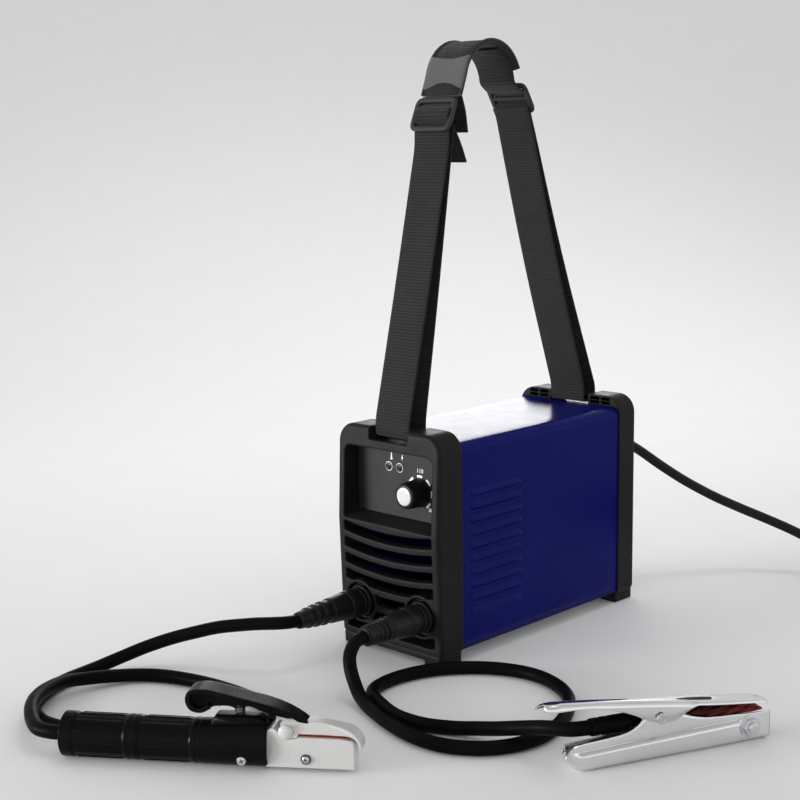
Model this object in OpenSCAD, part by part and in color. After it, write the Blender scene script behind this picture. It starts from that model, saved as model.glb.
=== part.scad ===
// Portable stick welding inverter with its shoulder strap, electrode lead, work lead
// and mains cord. Millimetres, +Z up. The machine's front looks along -Y. The origin is
// on the floor, midway between the machine's sides and between its front and rear.

/* [Machine] */
// Width over the end frames
body_w = 120; // [118:0.5:122]
// Length from the crest of the front frame to the rear rim
body_len = 282; // [280:1:284]
// Height of the end frames
body_h = 201; // [200:0.5:202]
// Depth of the front frame
front_depth = 32; // [31:0.5:33]
// Depth of the rear frame
rear_depth = 26; // [25:0.5:27]
// Thickness of the cover's steel sheet
sheet_t = 1.2; // [1:0.1:1.5]
// Height of the cover's top face
cover_top = 191; // [190:0.5:191]

/* [Controls] */
// Sideways place of the current knob
knob_x = 21.5; // [15:0.5:24]
// Height of the current knob's axis
knob_z = 146; // [144:0.5:150]
// Diameter of the current knob
knob_d = 25; // [20:0.5:26]
// How far the knob stands out of the panel
knob_len = 20; // [16:0.5:22]

/* [Sockets] */
// Sideways place of each output socket
socket_x = 36; // [35:0.5:37]
// Height of the output sockets
socket_z = 42; // [41:0.5:43]
// Outer diameter of a socket's collar
socket_d = 34; // [32:0.5:35]
// Diameter of a plug's pin
plug_pin_d = 9; // [8:0.5:10]

/* [Strap] */
// Width of the webbing
strap_w = 40; // [38:0.5:42]
// Thickness of the webbing
strap_t = 1.8; // [1.5:0.1:2]
// Width of the shoulder pad
pad_w = 46; // [44:1:50]
// Thickness of the shoulder pad
pad_t = 6; // [4:0.5:7]

/* [Leads] */
// Outer diameter of the welding leads
lead_d = 11; // [10:0.5:11]
// Outer diameter of the mains cord
mains_d = 9.5; // [8:0.5:9.5]

/* [Hidden] */
$fn = 48;
eps = 0.01;
front_y = -body_len / 2;
rear_y = body_len / 2;
front_in = front_y + front_depth;
rear_in = rear_y - rear_depth;
rim_z = 9;                       // underside of the side rims
plinth_z = 4.5;                  // underside between the feet
foot_inset = 2.5;
corner_r = 17;
cover_w = body_w - 3;
cover_z0 = 11;
cover_r = 9;
groove = 8;                      // how far the cover slides into each frame
panel_y = front_y + 20;          // face of the control panel
panel_t = 2.5;
open_w = 104;                    // width of the panel opening and the grille
panel_z0 = 121.5;
panel_z1 = 182;
bar_pitch = 14.7;
bar_gap = 9;
bar_arc = 300;                   // radius of the grille bars' smile
slot_z0 = 189.5;                 // floor and roof of the strap slots
slot_z1 = 196.5;
slot_w = strap_w + 5;
front_bar = [front_y + 11.4, front_in - 3.6];
rear_bar = [rear_in + 3.6, rear_y - 12.4];
back_wall = rear_y - 10;         // inner face of the rear wall
back_face = rear_y - 6;
fan_c = [0, 62];                 // x and z of the fan's axis
fan_w = 80;
fan_t = 24;
switch_c = [-30, 150];
gland_c = [22, 146];

// Holder: local x runs from the handle's rear end to the jaw tip
holder_at = [-29, -453, 0];
holder_turn = 34.5;
handle_len = 154;
handle_r = 16.5;
lever_pivot = [168, 27.5];
spring_z = 38.5;                 // seat of the lever's spring
// Clamp: local x runs from the lower handle's end to the jaws
clamp_at = [264, -224, 0];
clamp_turn = 65.8;
clamp_len = 160;
clamp_w = 24;
clamp_pivot = [66, 30];
plate_t = 1.6;

// Strap, in the plane of Y and Z
front_low = -131;
front_back = -111;
front_top = [[-74.5, 452], [-66.5, 479]];
rear_low = 130;
rear_back = 113;
rear_top = [[31, 466], [17.5, 485]];
arch_c = [-23, 490];
arch_r = 35.5;

// Routes of the cords' centre lines
electrode_route = [
    [-36, -214, 42], [-38, -223, 42.5], [-46, -231, 42], [-58, -239, 41], [-72, -248, 39],
    [-88, -258, 36], [-104, -269, 31], [-121, -282, 25], [-136, -299, 18], [-146, -318, 11.5],
    [-151, -339, 7], [-151, -360, 5.5], [-147, -377, 5.5], [-139, -394, 5.5],
    [-129, -409, 5.5], [-116, -423, 5.5], [-98, -433, 5.5], [-76, -436, 5.5],
    [-51, -428, 5.5], [-24, -411, 5.5], [6, -392, 5.5], [34, -370, 5.5], [48, -340, 5.5],
    [38, -312, 5.5], [10, -298, 5.5], [-30, -296, 5.5], [-70, -302, 5.5],
    [-103, -316, 5.5], [-121, -339, 7], [-128, -365, 10], [-126, -388, 14],
    [-116, -410.5, 17], [-103, -429, 18.5], [-91, -441, 18.5], [-79, -449.5, 18],
    [-66, -456.5, 17], [-51, -461.5, 16.5], [-38, -458.5, 16.5], [-29, -453, 16.5]];
work_route = [
    [36, -206, 42], [37, -217, 40], [42, -228, 33], [48, -233, 24], [56, -236, 14],
    [67, -241, 8], [86, -249, 5.5], [116, -260, 5.5], [148, -267, 5.5], [176, -265, 5.5],
    [200, -252, 5.5], [215, -231, 5.5], [220, -204, 5.5], [215, -176, 5.5], [203, -150, 5.5],
    [186, -127, 5.5], [164, -112, 5.5], [139, -105, 5.5], [114, -108, 5.5], [89, -121, 5.5],
    [67, -144, 5.5], [55, -173, 5.5], [54, -203, 5.5], [63, -224, 5.5], [85, -236.5, 5.5],
    [112, -246, 5.5], [138, -245, 5.5], [161, -236, 6], [180, -230.5, 9], [196, -229.5, 12.8],
    [208.5, -229, 16.3], [223, -228, 20.3], [236, -228, 24], [248.3, -226.5, 26.5],
    [261, -221.9, 27.6], [269.7, -211.2, 28]];
mains_route = [
    [22, 166, 146], [23, 181, 142], [28, 199, 131], [38, 219, 115], [51, 243, 97],
    [67, 268, 80], [86, 290, 66], [108, 308, 54], [133, 320, 43], [160, 327, 31],
    [188, 330, 19], [214, 331, 9], [238, 331, 5]];
coil_c = [238, 388.5];
coil_r = [47.5, 57.5];
coil_h = 28;
mains_plug_at = [290.5, 420, 19];

// ---------- helpers ----------

// Extrudes an outline in X and Z along Y, from y0 to y1
module along_y(y0, y1) {
    translate([0, y1, 0]) rotate([90, 0, 0]) linear_extrude(y1 - y0) children();
}

// Extrudes an outline in Y and Z along X, from x0 to x1
module along_x(x0, x1) {
    translate([x0, 0, 0]) rotate([90, 0, 90]) linear_extrude(x1 - x0) children();
}

// A cylinder along Y
module rod_y(x, z, y0, y1, d, d2 = -1) {
    translate([x, y0, z]) rotate([-90, 0, 0])
        cylinder(h = y1 - y0, d1 = d, d2 = d2 < 0 ? d : d2);
}

// Upright outline with its own corner radii at the top and the bottom
module upright(w, z0, z1, r_top, r_low) {
    translate([-w / 2, z0 + r_low]) square([w, z1 - z0 - r_top - r_low]);
    translate([-w / 2 + r_top, z1 - r_top - 1]) square([w - 2 * r_top, r_top + 1]);
    translate([-w / 2 + r_low, z0]) square([w - 2 * r_low, r_low + 1]);
    for (side = [-1, 1]) {
        translate([side * (w / 2 - r_top), z1 - r_top]) circle(r_top);
        translate([side * (w / 2 - r_low), z0 + r_low]) circle(r_low);
    }
}

// Points of an arc, in degrees, around a centre
function arc(c, r, a0, a1, n) = [for (i = [0:n]) let (a = a0 + (a1 - a0) * i / n)
    [c[0] + r * cos(a), c[1] + r * sin(a)]];

function unit(v) = v / norm(v);
function left_of(v) = [-v[1], v[0]];

// Direction of a path at its point i
function heading(p, i) = unit(p[min(i + 1, len(p) - 1)] - p[max(i - 1, 0)]);

// Outline of a band of thickness t along a plane path
function band(p, t) = concat(
    [for (i = [0:len(p) - 1]) p[i] + left_of(heading(p, i)) * t / 2],
    [for (i = [len(p) - 1:-1:0]) p[i] - left_of(heading(p, i)) * t / 2]);

// Smooth curve through a route, at u counted in its points
function spline(p, u) = let (
    n = len(p), i = min(floor(u), n - 2), t = u - i,
    a = p[i], b = p[i + 1],
    before = i > 0 ? p[i - 1] : 2 * a - b,
    after = i + 2 < n ? p[i + 2] : 2 * b - a)
    0.5 * (2 * a + (b - before) * t + (2 * before - 5 * a + 4 * b - after) * t * t
        + (3 * a - before - 3 * b + after) * t * t * t);

// A tube of diameter d along a route, with one ring of 10 sides at each of n steps
module tube(p, d, n, sides = 10) {
    m = len(p) - 1;
    rings = [for (k = [0:n]) let (
        u = m * k / n, raw = spline(p, u), c = [raw[0], raw[1], max(raw[2], d / 2)],
        ahead = spline(p, min(u + 0.05, m)) - spline(p, max(u - 0.05, 0)),
        f = unit(ahead), s = unit(cross(f, [0, 0, 1])), v = cross(s, f))
        for (j = [0:sides - 1]) let (a = 360 * (j + 0.5) / sides)
            c + (s * cos(a) + v * sin(a)) * d / 2];
    polyhedron(rings, concat(
        [[for (j = [0:sides - 1]) j]],
        [for (k = [0:n - 1], j = [0:sides - 1]) let (a = k * sides, e = (j + 1) % sides)
            [a + j, a + sides + j, a + sides + e, a + e]],
        [[for (j = [sides - 1:-1:0]) n * sides + j]]), convexity = 6);
}

// ---------- end frames ----------

// Rim, plinth and corner feet shared by both end frames
module frame_block(y0, y1) {
    along_y(y0, y1) upright(body_w, rim_z, body_h, corner_r, 5);
    foot_w = body_w - 2 * foot_inset;
    translate([-foot_w / 2, y0 + 2, plinth_z]) cube([foot_w, y1 - y0 - 2, rim_z - plinth_z + 1]);
    for (side = [-1, 1]) translate([side * (foot_w / 2 - 9) - 9, y0 + 2, 0])
        cube([18, y1 - y0 - 2, plinth_z + 1]);
}

// Seat that the cover and the base slide into
module cover_seat(y0, y1) {
    along_y(y0, y1) upright(cover_w, cover_z0, cover_top, cover_r, 1);
}

// Passage of the strap under its bar, with the bar between two y values
module strap_passage(y0, y1, bar) {
    along_y(y0, y1) polygon([[-slot_w / 2, slot_z0], [slot_w / 2, slot_z0],
        [slot_w / 2, slot_z1], [-slot_w / 2, slot_z1]]);
    for (span = [[y0, bar[0]], [bar[1], y1]]) translate([-slot_w / 2, span[0], slot_z0])
        cube([slot_w, span[1] - span[0], body_h - slot_z0 + 1]);
}

// One crescent opening of the grille, its upper edge at z where it meets the sides
module smile(z, h) {
    top_c = z + sqrt(bar_arc * bar_arc - open_w * open_w / 4);
    intersection() {
        translate([-open_w / 2, z - h - 8]) square([open_w, h + 9]);
        difference() {
            translate([0, top_c - h]) circle(bar_arc, $fn = 360);
            translate([0, top_c]) circle(bar_arc, $fn = 360);
        }
    }
}

module grille_openings() {
    difference() {
        union() {
            for (i = [0:6]) smile(114 - i * bar_pitch, bar_gap);
        }
        for (side = [-1, 1]) translate([side * socket_x, socket_z]) circle(d = socket_d + 5);
        translate([-open_w / 2, 0]) square([open_w, 16]);
    }
}

module front_bezel() color("#26272a") difference() {
    intersection() {
        frame_block(front_y, front_in);
        along_x(-body_w, body_w) polygon([[front_y + 4, -1], [front_y, 116],
            [front_y + 3.5, body_h + 1], [front_in + 1, body_h + 1], [front_in + 1, -1]]);
    }
    along_y(front_y - 1, panel_y) upright(open_w, panel_z0, panel_z1, 7, 3);
    along_x(-open_w / 2, open_w / 2) polygon([[front_y - 1, 116.2], [front_y - 1, 124],
        [panel_y, 124], [panel_y, panel_z0]]);
    along_y(front_y - 1, front_in) grille_openings();
    translate([-open_w / 2, front_y + 12, 16]) cube([open_w, 8 + eps, 101]);
    for (side = [-1, 1]) rod_y(side * socket_x, socket_z, front_y - 1, front_in, socket_d);
    along_y(panel_y, front_in) upright(cover_w - 9, cover_z0 + 5, cover_top - 6, 6, 3);
    cover_seat(front_in - groove, front_in + 1);
    strap_passage(front_y - 1, front_in + 1, front_bar);
}

module rear_bezel() color("#26272a") difference() {
    frame_block(rear_in - 2, rear_y);
    translate([-body_w, rear_in - 3, -1]) cube([2 * body_w, 3, body_h + 2]);
    along_y(back_face, rear_y + 1) upright(body_w - 6, rim_z + 3, slot_z0 - 2.5, 12, 3);
    along_y(rear_in, back_wall) upright(cover_w - 9, cover_z0 + 5, cover_top - 6, 6, 3);
    cover_seat(rear_in - 1, rear_in + groove);
    rod_y(fan_c[0], fan_c[1], back_wall - 1, back_face + 1, 74);
    translate([switch_c[0] - 15, back_wall - 1, switch_c[1] - 11]) cube([30, 6, 22]);
    rod_y(gland_c[0], gland_c[1], back_wall - 1, back_face + 1, 16.4);
    // hollow between the top rim and the cover, with upright ribs left standing
    for (span = [[-48, -38], [-36, -25], [25, 36], [38, 48]]) {
        translate([span[0], rear_in - 1, 192.5]) cube([span[1] - span[0], 12, 2.6]);
        translate([span[0], rear_in - 1, 196.2]) cube([span[1] - span[0], 12, 2.6]);
    }
    strap_passage(rear_in - 1, rear_y + 1, rear_bar);
}

// ---------- case ----------

// Ten pressed louvres along one side, each a hood over a slit
louvre_n = 10;
louvre_z = 145;
louvre_pitch = 11.6;
louvre_y = [-98, -30];

module louvre_hoods() {
    for (side = [-1, 1], i = [0:louvre_n - 1]) mirror([side < 0 ? 1 : 0, 0, 0])
        translate([cover_w / 2, 0, louvre_z - i * louvre_pitch])
            along_y(louvre_y[0], louvre_y[1])
                polygon([[0, 2], [0, 6], [1.3, 0.4], [1.3, -0.4], [0.5, -0.4]]);
}

module cover() color("#1c1f86") {
    y0 = front_in - groove;
    y1 = rear_in + groove;
    difference() {
        along_y(y0, y1) upright(cover_w, cover_z0, cover_top, cover_r, 1);
        along_y(y0 - 1, y1 + 1) upright(cover_w - 2 * sheet_t, cover_z0 - 4,
            cover_top - sheet_t, cover_r - sheet_t, 0.5);
        for (i = [0:louvre_n - 1]) translate([-body_w, louvre_y[0] + 3,
            louvre_z - i * louvre_pitch - 1]) cube([2 * body_w, louvre_y[1] - louvre_y[0] - 6, 3]);
    }
    louvre_hoods();
}

module base_pan() color("#8d9094") {
    y0 = front_in - groove;
    y1 = rear_in + groove;
    w = cover_w - 2 * sheet_t;
    difference() {
        translate([-w / 2, y0, cover_z0]) cube([w, y1 - y0, 13]);
        translate([-w / 2 + sheet_t, y0 - 1, cover_z0 + sheet_t])
            cube([w - 2 * sheet_t, y1 - y0 + 2, 20]);
        for (x = [-45, 45], y = [-85, 85]) translate([x, y, cover_z0 - 1]) cylinder(h = 4, d = 4);
    }
    for (x = [-40, 40], y = [-82, 82]) translate([x, y, cover_z0 + sheet_t - eps])
        cylinder(h = 12.8, d = 7);
}

module base_screws() color("#b9bcc0") for (x = [-45, 45], y = [-85, 85])
    translate([x, y, cover_z0 - 2]) {
        cylinder(h = 2, d = 7);
        cylinder(h = 9, d = 3.9);
    }

// ---------- front panel ----------

module control_panel() color("#3a3b3e") difference() {
    along_y(panel_y, panel_y + panel_t) upright(cover_w - 10, panel_z0 - 4, 184.8, 5, 3);
    rod_y(knob_x, knob_z, panel_y - 1, panel_y + 4, 7.2);
    for (x = led_x) rod_y(x, led_z, panel_y - 1, panel_y + 4, 5);
}
led_x = [-14.8, -2.2];
led_z = 164.3;

module indicator_leds() {
    color("#dfe3e2") for (x = led_x) {
        rod_y(x, led_z, panel_y - 1.2, panel_y + 6, 4.96);
        rod_y(x, led_z, panel_y - 0.9, panel_y, 7);
    }
}

module potentiometer() color("#5f7f4f") difference() {
    union() {
        rod_y(knob_x, knob_z, panel_y + panel_t, panel_y + panel_t + 10, 17);
        translate([knob_x - 6, panel_y + panel_t + 2, knob_z - 16]) cube([12, 6, 12]);
    }
    rod_y(knob_x, knob_z, panel_y, panel_y + panel_t + 8, 6.1);
}

module pot_shaft() color("#c9ccd0") rod_y(knob_x, knob_z, panel_y - 14, panel_y + panel_t + 7.8, 6);

module current_knob() color("#1b1c1e") difference() {
    union() {
        rod_y(knob_x, knob_z, panel_y - 4, panel_y - 0.4, knob_d + 1);
        rod_y(knob_x, knob_z, panel_y - knob_len, panel_y - 4 + eps, knob_d - 3, knob_d);
        for (i = [0:17]) translate([knob_x, 0, knob_z]) rotate([0, i * 20, 0])
            translate([-0.8, panel_y - knob_len + 2, 0]) cube([1.6, knob_len - 6, knob_d / 2]);
    }
    rod_y(knob_x, knob_z, panel_y - 14, panel_y, 6);
    rod_y(knob_x, knob_z, panel_y - knob_len - 1, panel_y - knob_len + 2, 18);
}

module knob_cap() color("#f4f4f2") {
    rod_y(knob_x, knob_z, panel_y - knob_len - 0.6, panel_y - knob_len + 2, 18);
}

// ---------- output sockets and plugs ----------

contact_d = plug_pin_d + 0.2;
socket_back = front_in - 2;

module socket(side) color("#1f2022") difference() {
    union() {
        rod_y(side * socket_x, socket_z, front_y + 7, front_y + 12, socket_d);
        rod_y(side * socket_x, socket_z, front_y + 12, socket_back, socket_d - 6);
    }
    rod_y(side * socket_x, socket_z, front_y + 6, socket_back + 1, 14);
}

module left_socket() socket(-1);
module right_socket() socket(1);

module socket_contacts() color("#c9a545") for (side = [-1, 1]) difference() {
    union() {
        rod_y(side * socket_x, socket_z, front_y + 9, socket_back + 4, 14);
        rod_y(side * socket_x, socket_z, socket_back, socket_back + 3, 20);
    }
    rod_y(side * socket_x, socket_z, front_y + 8, socket_back - 2, contact_d);
}

module output_busbars() color("#b8703a") for (side = [-1, 1]) {
    translate([side * socket_x - 6, socket_back + 4, deck]) cube([12, 2, 48 - deck]);
    translate([side * socket_x - 6, socket_back + 6 - eps, deck]) cube([12, 17, 2]);
}

// A cable plug on the axis of one socket, stepping down to its tail
module plug(side, tail_y, tail_d) {
    x = side * socket_x;
    rod_y(x, socket_z, front_y + 1.5, front_y + 6.6, 28);
    rod_y(x, socket_z, front_y - 16, front_y + 1.6, 26);
    rod_y(x, socket_z, front_y - 36, front_y - 16 + eps, 22, 26);
    rod_y(x, socket_z, tail_y, front_y - 36 + eps, tail_d, 22);
}

module electrode_plug() color("#202124") plug(-1, -214, 15);
module work_plug() color("#202124") {
    plug(1, -206, 16);
    for (i = [0:3]) rod_y(socket_x, socket_z, -204 + 5 * i, -202 + 5 * i, 18 + i);
}

module plug_pins() color("#c9a545") for (side = [-1, 1])
    rod_y(side * socket_x, socket_z, front_y + 6.6, socket_back - 5, plug_pin_d);

module electrode_lead() color("#232427") tube(electrode_route, lead_d, 33);
module work_lead() color("#232427") tube(work_route, lead_d, 30);

// ---------- rear ----------

module power_switch_housing() color("#17181a") difference() {
    union() {
        translate([switch_c[0] - 17, back_face, switch_c[1] - 13]) cube([34, 1.6, 26]);
        translate([switch_c[0] - 14.9, back_wall - 16, switch_c[1] - 10.9]) cube([29.8, 20.1, 21.8]);
    }
    translate([switch_c[0] - 13, back_wall - 6, switch_c[1] - 9]) cube([26, 20, 18]);
    rocker_pivot(28.4, 3.1);
}

module rocker_pivot(w, d) translate([switch_c[0] - w / 2, back_face - 3, switch_c[1]])
    rotate([0, 90, 0]) cylinder(h = w, d = d);

module power_switch_rocker() color("#b3261f") {
    translate([0, back_face - 3, switch_c[1]])
        along_x(switch_c[0] - 12.6, switch_c[0] + 12.6) rotate(6)
            polygon([[-4, -2], [2, -8], [4.6, -7.8], [3.4, 0], [4.6, 7.8], [2, 8], [-4, 2]]);
    rocker_pivot(28, 3);
}

module fan_frame() color("#202225") {
    y0 = back_wall - fan_t;
    difference() {
        translate([fan_c[0] - fan_w / 2, y0, fan_c[1] - fan_w / 2]) cube([fan_w, fan_t, fan_w]);
        rod_y(fan_c[0], fan_c[1], y0 - 1, back_wall + 1, fan_w - 4);
    }
    rod_y(fan_c[0], fan_c[1], back_wall - 3, back_wall, 30);
    rod_y(fan_c[0], fan_c[1], back_wall - 20, back_wall - 1, 4);
    for (a = [45:90:315]) translate([fan_c[0], back_wall - 2.8, fan_c[1]]) rotate([0, a, 0])
        translate([12, 0, -1.5]) cube([fan_w / 2 - 11, 2.5, 3]);
}

module fan_rotor() color("#3b3d42") {
    y0 = back_wall - fan_t + 2;
    y1 = back_wall - 4;
    difference() {
        rod_y(fan_c[0], fan_c[1], y0, y1, 28);
        rod_y(fan_c[0], fan_c[1], y0 + 1, y1 + 1, 4.1);
    }
    for (i = [0:6]) translate([fan_c[0], (y0 + y1) / 2, fan_c[1]]) rotate([0, i * 360 / 7, 0])
        translate([12, 0, 0]) rotate([38, 0, 0]) translate([0, -1, -12]) cube([23.5, 2, 24]);
}

module fan_guard() color("#c3c6ca") {
    y = back_face;
    for (r = [14, 23, 32]) translate([fan_c[0], y + 1.2, fan_c[1]]) rotate([90, 0, 0])
        rotate_extrude() translate([r, 0]) circle(1.2, $fn = 16);
    for (a = [0, 90]) translate([fan_c[0], y, fan_c[1]]) rotate([0, a, 0])
        translate([-39.5, 0, -1.2]) cube([79, 2.4, 2.4]);
}

module mains_gland() color("#1d1e20") {
    rod_y(gland_c[0], gland_c[1], back_wall - 6, back_face + eps, 16);
    rod_y(gland_c[0], gland_c[1], back_face, back_face + 4, 24);
    rod_y(gland_c[0], gland_c[1], back_face + 4 - eps, back_face + 12, 20, 17);
    rod_y(gland_c[0], gland_c[1], back_face + 12 - eps, 166, 15, 12);
}

module rear_screws() color("#b9bcc0") for (x = [-50, 50], z = [24, 172])
    difference() {
        rod_y(x, z, back_face, back_face + 2.4, 8);
        translate([x - 2.5, back_face + 1.4, z - 0.5]) cube([5, 2, 1]);
        translate([x - 0.5, back_face + 1.4, z - 2.5]) cube([1, 2, 5]);
    }

// ---------- inside ----------

board_z = cover_z0 + sheet_t + 12.8 - eps;
board_t = 1.6;
deck = board_z + board_t;

module main_board() color("#2f7a3c") translate([-50, -92, board_z]) cube([100, 184, board_t]);

module heatsinks() color("#b4b8bc") for (side = [-1, 1]) mirror([side < 0 ? 1 : 0, 0, 0]) {
    translate([44, -30, deck]) cube([5, 90, 66]);
    for (i = [0:7]) translate([24, -30, deck + 1 + i * 8.4]) cube([20 + eps, 90, 2.2]);
}

module power_transistors() color("#1c1d1f") for (side = [-1, 1], i = [0:3])
    mirror([side < 0 ? 1 : 0, 0, 0]) translate([49, -22 + i * 22, deck + 20]) cube([5, 16, 21]);

module transformer_core() color("#4a4b4d") difference() {
    translate([-21, -25, deck]) cube([42, 34, 50]);
    translate([-13, -26, deck + 9]) cube([6, 36, 32]);
    translate([7, -26, deck + 9]) cube([6, 36, 32]);
}

module transformer_winding() color("#b8703a") difference() {
    translate([-12.8, -33, deck + 9.2]) cube([25.6, 50, 31.6]);
    translate([-7, -25.2, deck + 8]) cube([14, 34.4, 34]);
}

module capacitors() color("#27408f") for (x = [-32, 0, 32])
    translate([x, 76, deck]) cylinder(h = 42, d = 28);

module output_inductor() color("#c07a3c") translate([0, -62, deck + 10]) rotate_extrude()
    translate([18, 0]) circle(d = 20);

// ---------- strap ----------

// The webbing from the pad down past its buckle, under its bar and back up inside.
// It hangs inwards by sag at half height.
function strap_path(low, back, top, sag) = let (side = sign(back - low), turn = 2) [
    top[1], top[0], [(low + top[0][0]) / 2 + side * sag, (205 + top[0][1]) / 2],
    [low, 205], [low, 193.4 + turn], [low + side * turn, 193.4],
    [back - side * turn, 193.4], [back, 193.4 + turn], [back, 205],
    [(back + top[0][0] + side * 4) / 2 + side * sag, (183 + top[0][1]) / 2],
    [top[0][0] + side * 4, top[0][1] - 22]];

module front_strap() color("#1a1a1b") along_x(-strap_w / 2, strap_w / 2)
    polygon(band(strap_path(front_low, front_back, front_top, 0.5), strap_t));

module rear_strap() color("#1a1a1b") along_x(-strap_w / 2, strap_w / 2)
    polygon(band(strap_path(rear_low, rear_back, rear_top, 3.5), strap_t));

module strap_tails() color("#161617") along_x(-strap_w / 2, strap_w / 2) {
    polygon(band([[-61.5, 479.4], [-57, 468], [-54, 449]], strap_t));
    polygon(band([[-70.6, 452], [-62, 438], [-56, 424]], strap_t));
}

pad_path = concat([[-64, 480]], arc(arch_c, arch_r, 170, 8, 12), [[15.5, 486]]);

module shoulder_pad() color("#1d1d1f") along_x(-pad_w / 2, pad_w / 2)
    polygon(band(pad_path, pad_t));

// A point of the pad's path moved out by d
function off_pad(i, d) = pad_path[i] + left_of(heading(pad_path, i)) * d;

// Sewn end cap over the front end of the pad
module pad_end_caps() color("#6a6b6d") along_x(-pad_w / 2 + 1, pad_w / 2 - 1)
    polygon([off_pad(0, pad_t / 2), off_pad(0, pad_t / 2 + 1.2), off_pad(1, pad_t / 2 + 1.2),
        off_pad(2, pad_t / 2 + 1.2), off_pad(2, pad_t / 2), off_pad(1, pad_t / 2)]);

// A ladder buckle whose face is square to the strap, centred at c and tilted by a
module ladder_buckle(c, a) translate([0, c[0], c[1]]) rotate([a, 0, 0]) difference() {
    translate([-23, -2, -13.5]) cube([46, 4, 27]);
    for (z0 = [-10, 1.5]) translate([-20.3, -3, z0]) cube([40.6, 6, 8.5]);
}

module front_buckle() color("#2b2c2e") ladder_buckle([-75.6, 464.5], -23);
module rear_buckle() color("#2b2c2e") ladder_buckle([26.6, 478.5], 32);

// ---------- electrode holder ----------

module in_holder() translate(holder_at) rotate([0, 0, holder_turn]) children();

// A cylinder along the holder's local x
module rod_x(x0, x1, z, d) translate([x0, 0, z]) rotate([0, 90, 0]) cylinder(h = x1 - x0, d = d);

// A plate profile in local x and z, centred on the local y
module profile(w) translate([0, w / 2, 0]) rotate([90, 0, 0]) linear_extrude(w) children();

module holder_handle() color("#1b1c1e") in_holder() difference() {
    union() {
        rod_x(0, handle_len, handle_r, 2 * handle_r - 1.6);
        rod_x(1, 10, handle_r, 2 * handle_r);
        rod_x(50, 60, handle_r, 2 * handle_r);
        rod_x(100, handle_len, handle_r, 2 * handle_r);
        for (x0 = [10, 60], a = [0:30:330]) translate([x0, 0, handle_r]) rotate([a, 0, 0])
            translate([0, -1, 13]) cube([40, 2, 3.1]);
        profile(14) polygon([[113, 30], [117, spring_z], [136, spring_z], [138, 37], [138, 30]]);
    }
    rod_x(4, 70, handle_r, lead_d + 3);
    rod_x(69, handle_len + 1, handle_r, 22);
    translate([handle_len - 16, 0, handle_r]) translate([0, -6, 0]) cube([17, 12, 30]);
    translate([138, -20, 8.5]) rotate([-90, 0, 0]) {
        cylinder(h = 40, d = 3.4);
        cylinder(h = 6.8, d = 6.5);
    }
}

module holder_lower_jaw() color("#e9e9e6") in_holder() difference() {
    union() {
        rod_x(120, handle_len + 1, handle_r, 21.6);
        translate([handle_len, -11, 1.5]) cube([60, 22, 24]);
        profile(11) polygon([[140, 20], [140, 30], [156, 32.6], [172, 32.6], [176, 24]]);
    }
    translate([lever_pivot[0], 10, lever_pivot[1]]) rotate([90, 0, 0]) cylinder(h = 20, d = 4.1);
    translate([184, -12, 10]) rotate([-90, 0, 0]) cylinder(h = 24, d = 4.4);
    for (y = [-12, 5.5]) translate([161, y, 20.5]) cube([14, 6.5, 20]);
    translate([138, -20, 8.5]) rotate([-90, 0, 0]) cylinder(h = 40, d = 3.4);
}

module holder_lower_contact() color("#b87346") in_holder()
    translate([176, -9, 25.5]) cube([36, 18, 2.5]);

module holder_upper_contact() color("#b87346") in_holder() difference() {
    translate([177, -8.5, 28.3]) cube([36, 17, 1.9]);
    for (i = [0:3]) translate([181 + i * 8, -9, 27.3]) cube([2, 18, 1.6]);
}

module holder_upper_jaw() color("#efefec") in_holder() difference() {
    union() {
        for (s = [-1, 1]) translate([lever_pivot[0], s * 8 + 2.2, lever_pivot[1]])
            rotate([90, 0, 0]) cylinder(h = 4.4, d = 11);
        profile(20) polygon([[164, 33.4], [174, 30.2], [214, 30.2], [219, 27.5], [221, 19],
            [223, 19], [222.5, 28], [219, 33.5], [212, 36], [190, 38.4], [170, 39], [164, 37]]);
    }
    translate([lever_pivot[0], 12, lever_pivot[1]]) rotate([90, 0, 0]) cylinder(h = 24, d = 4.1);
    translate([158, -5.7, 18]) cube([18, 11.4, 15.4]);
}

module holder_lever() color("#1d1e20") in_holder() difference() {
    profile(20) polygon([[97, 44], [100, 41], [108, 40], [113, 42], [116, 46],
        [128, 46], [129, 43], [139, 43], [140, 46.5], [152, 43.5], [158, 39.2], [176, 38.9],
        [183, 38.4], [179, 43], [169, 48], [157, 51.5], [140, 54.5], [125, 57], [110, 60],
        [101, 59], [96, 55], [95, 49]]);
    for (s = [-1, 1]) translate([0, s * 7.5, 0]) profile(5.5)
        polygon([[99, 48], [102, 44.5], [108, 44], [113, 48], [125, 49.5], [125, 53],
            [110, 55.5], [102, 55], [99, 52]]);
    translate([134, 0, 42]) cylinder(h = 4.9, d = 8.4);
}

module holder_pin() color("#c3c6ca") in_holder()
    translate([lever_pivot[0], 11.6, lever_pivot[1]]) rotate([90, 0, 0]) cylinder(h = 23.2, d = 4);

module holder_spring() color("#8e9196") in_holder() translate([134, 0, spring_z]) difference() {
    cylinder(h = 46.8 - spring_z, d = 8);
    translate([0, 0, -1]) cylinder(h = 12, d = 5);
}

module holder_screws() color("#b9bcc0") in_holder() {
    translate([138, -16, 8.5]) rotate([-90, 0, 0]) cylinder(h = 30, d = 3.3);
    translate([138, -16.2, 8.5]) rotate([-90, 0, 0]) cylinder(h = 3, d = 6.4);
    translate([184, -10.5, 10]) rotate([-90, 0, 0]) cylinder(h = 21, d = 4.3);
}

// ---------- work clamp ----------

module in_clamp() translate(clamp_at) rotate([0, 0, clamp_turn]) children();

// A channel pressed from plate: its side outline given, its web along one edge cut away
module channel(w, t) difference() {
    profile(w) children(0);
    profile(w - 2 * t) children(1);
}

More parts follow.
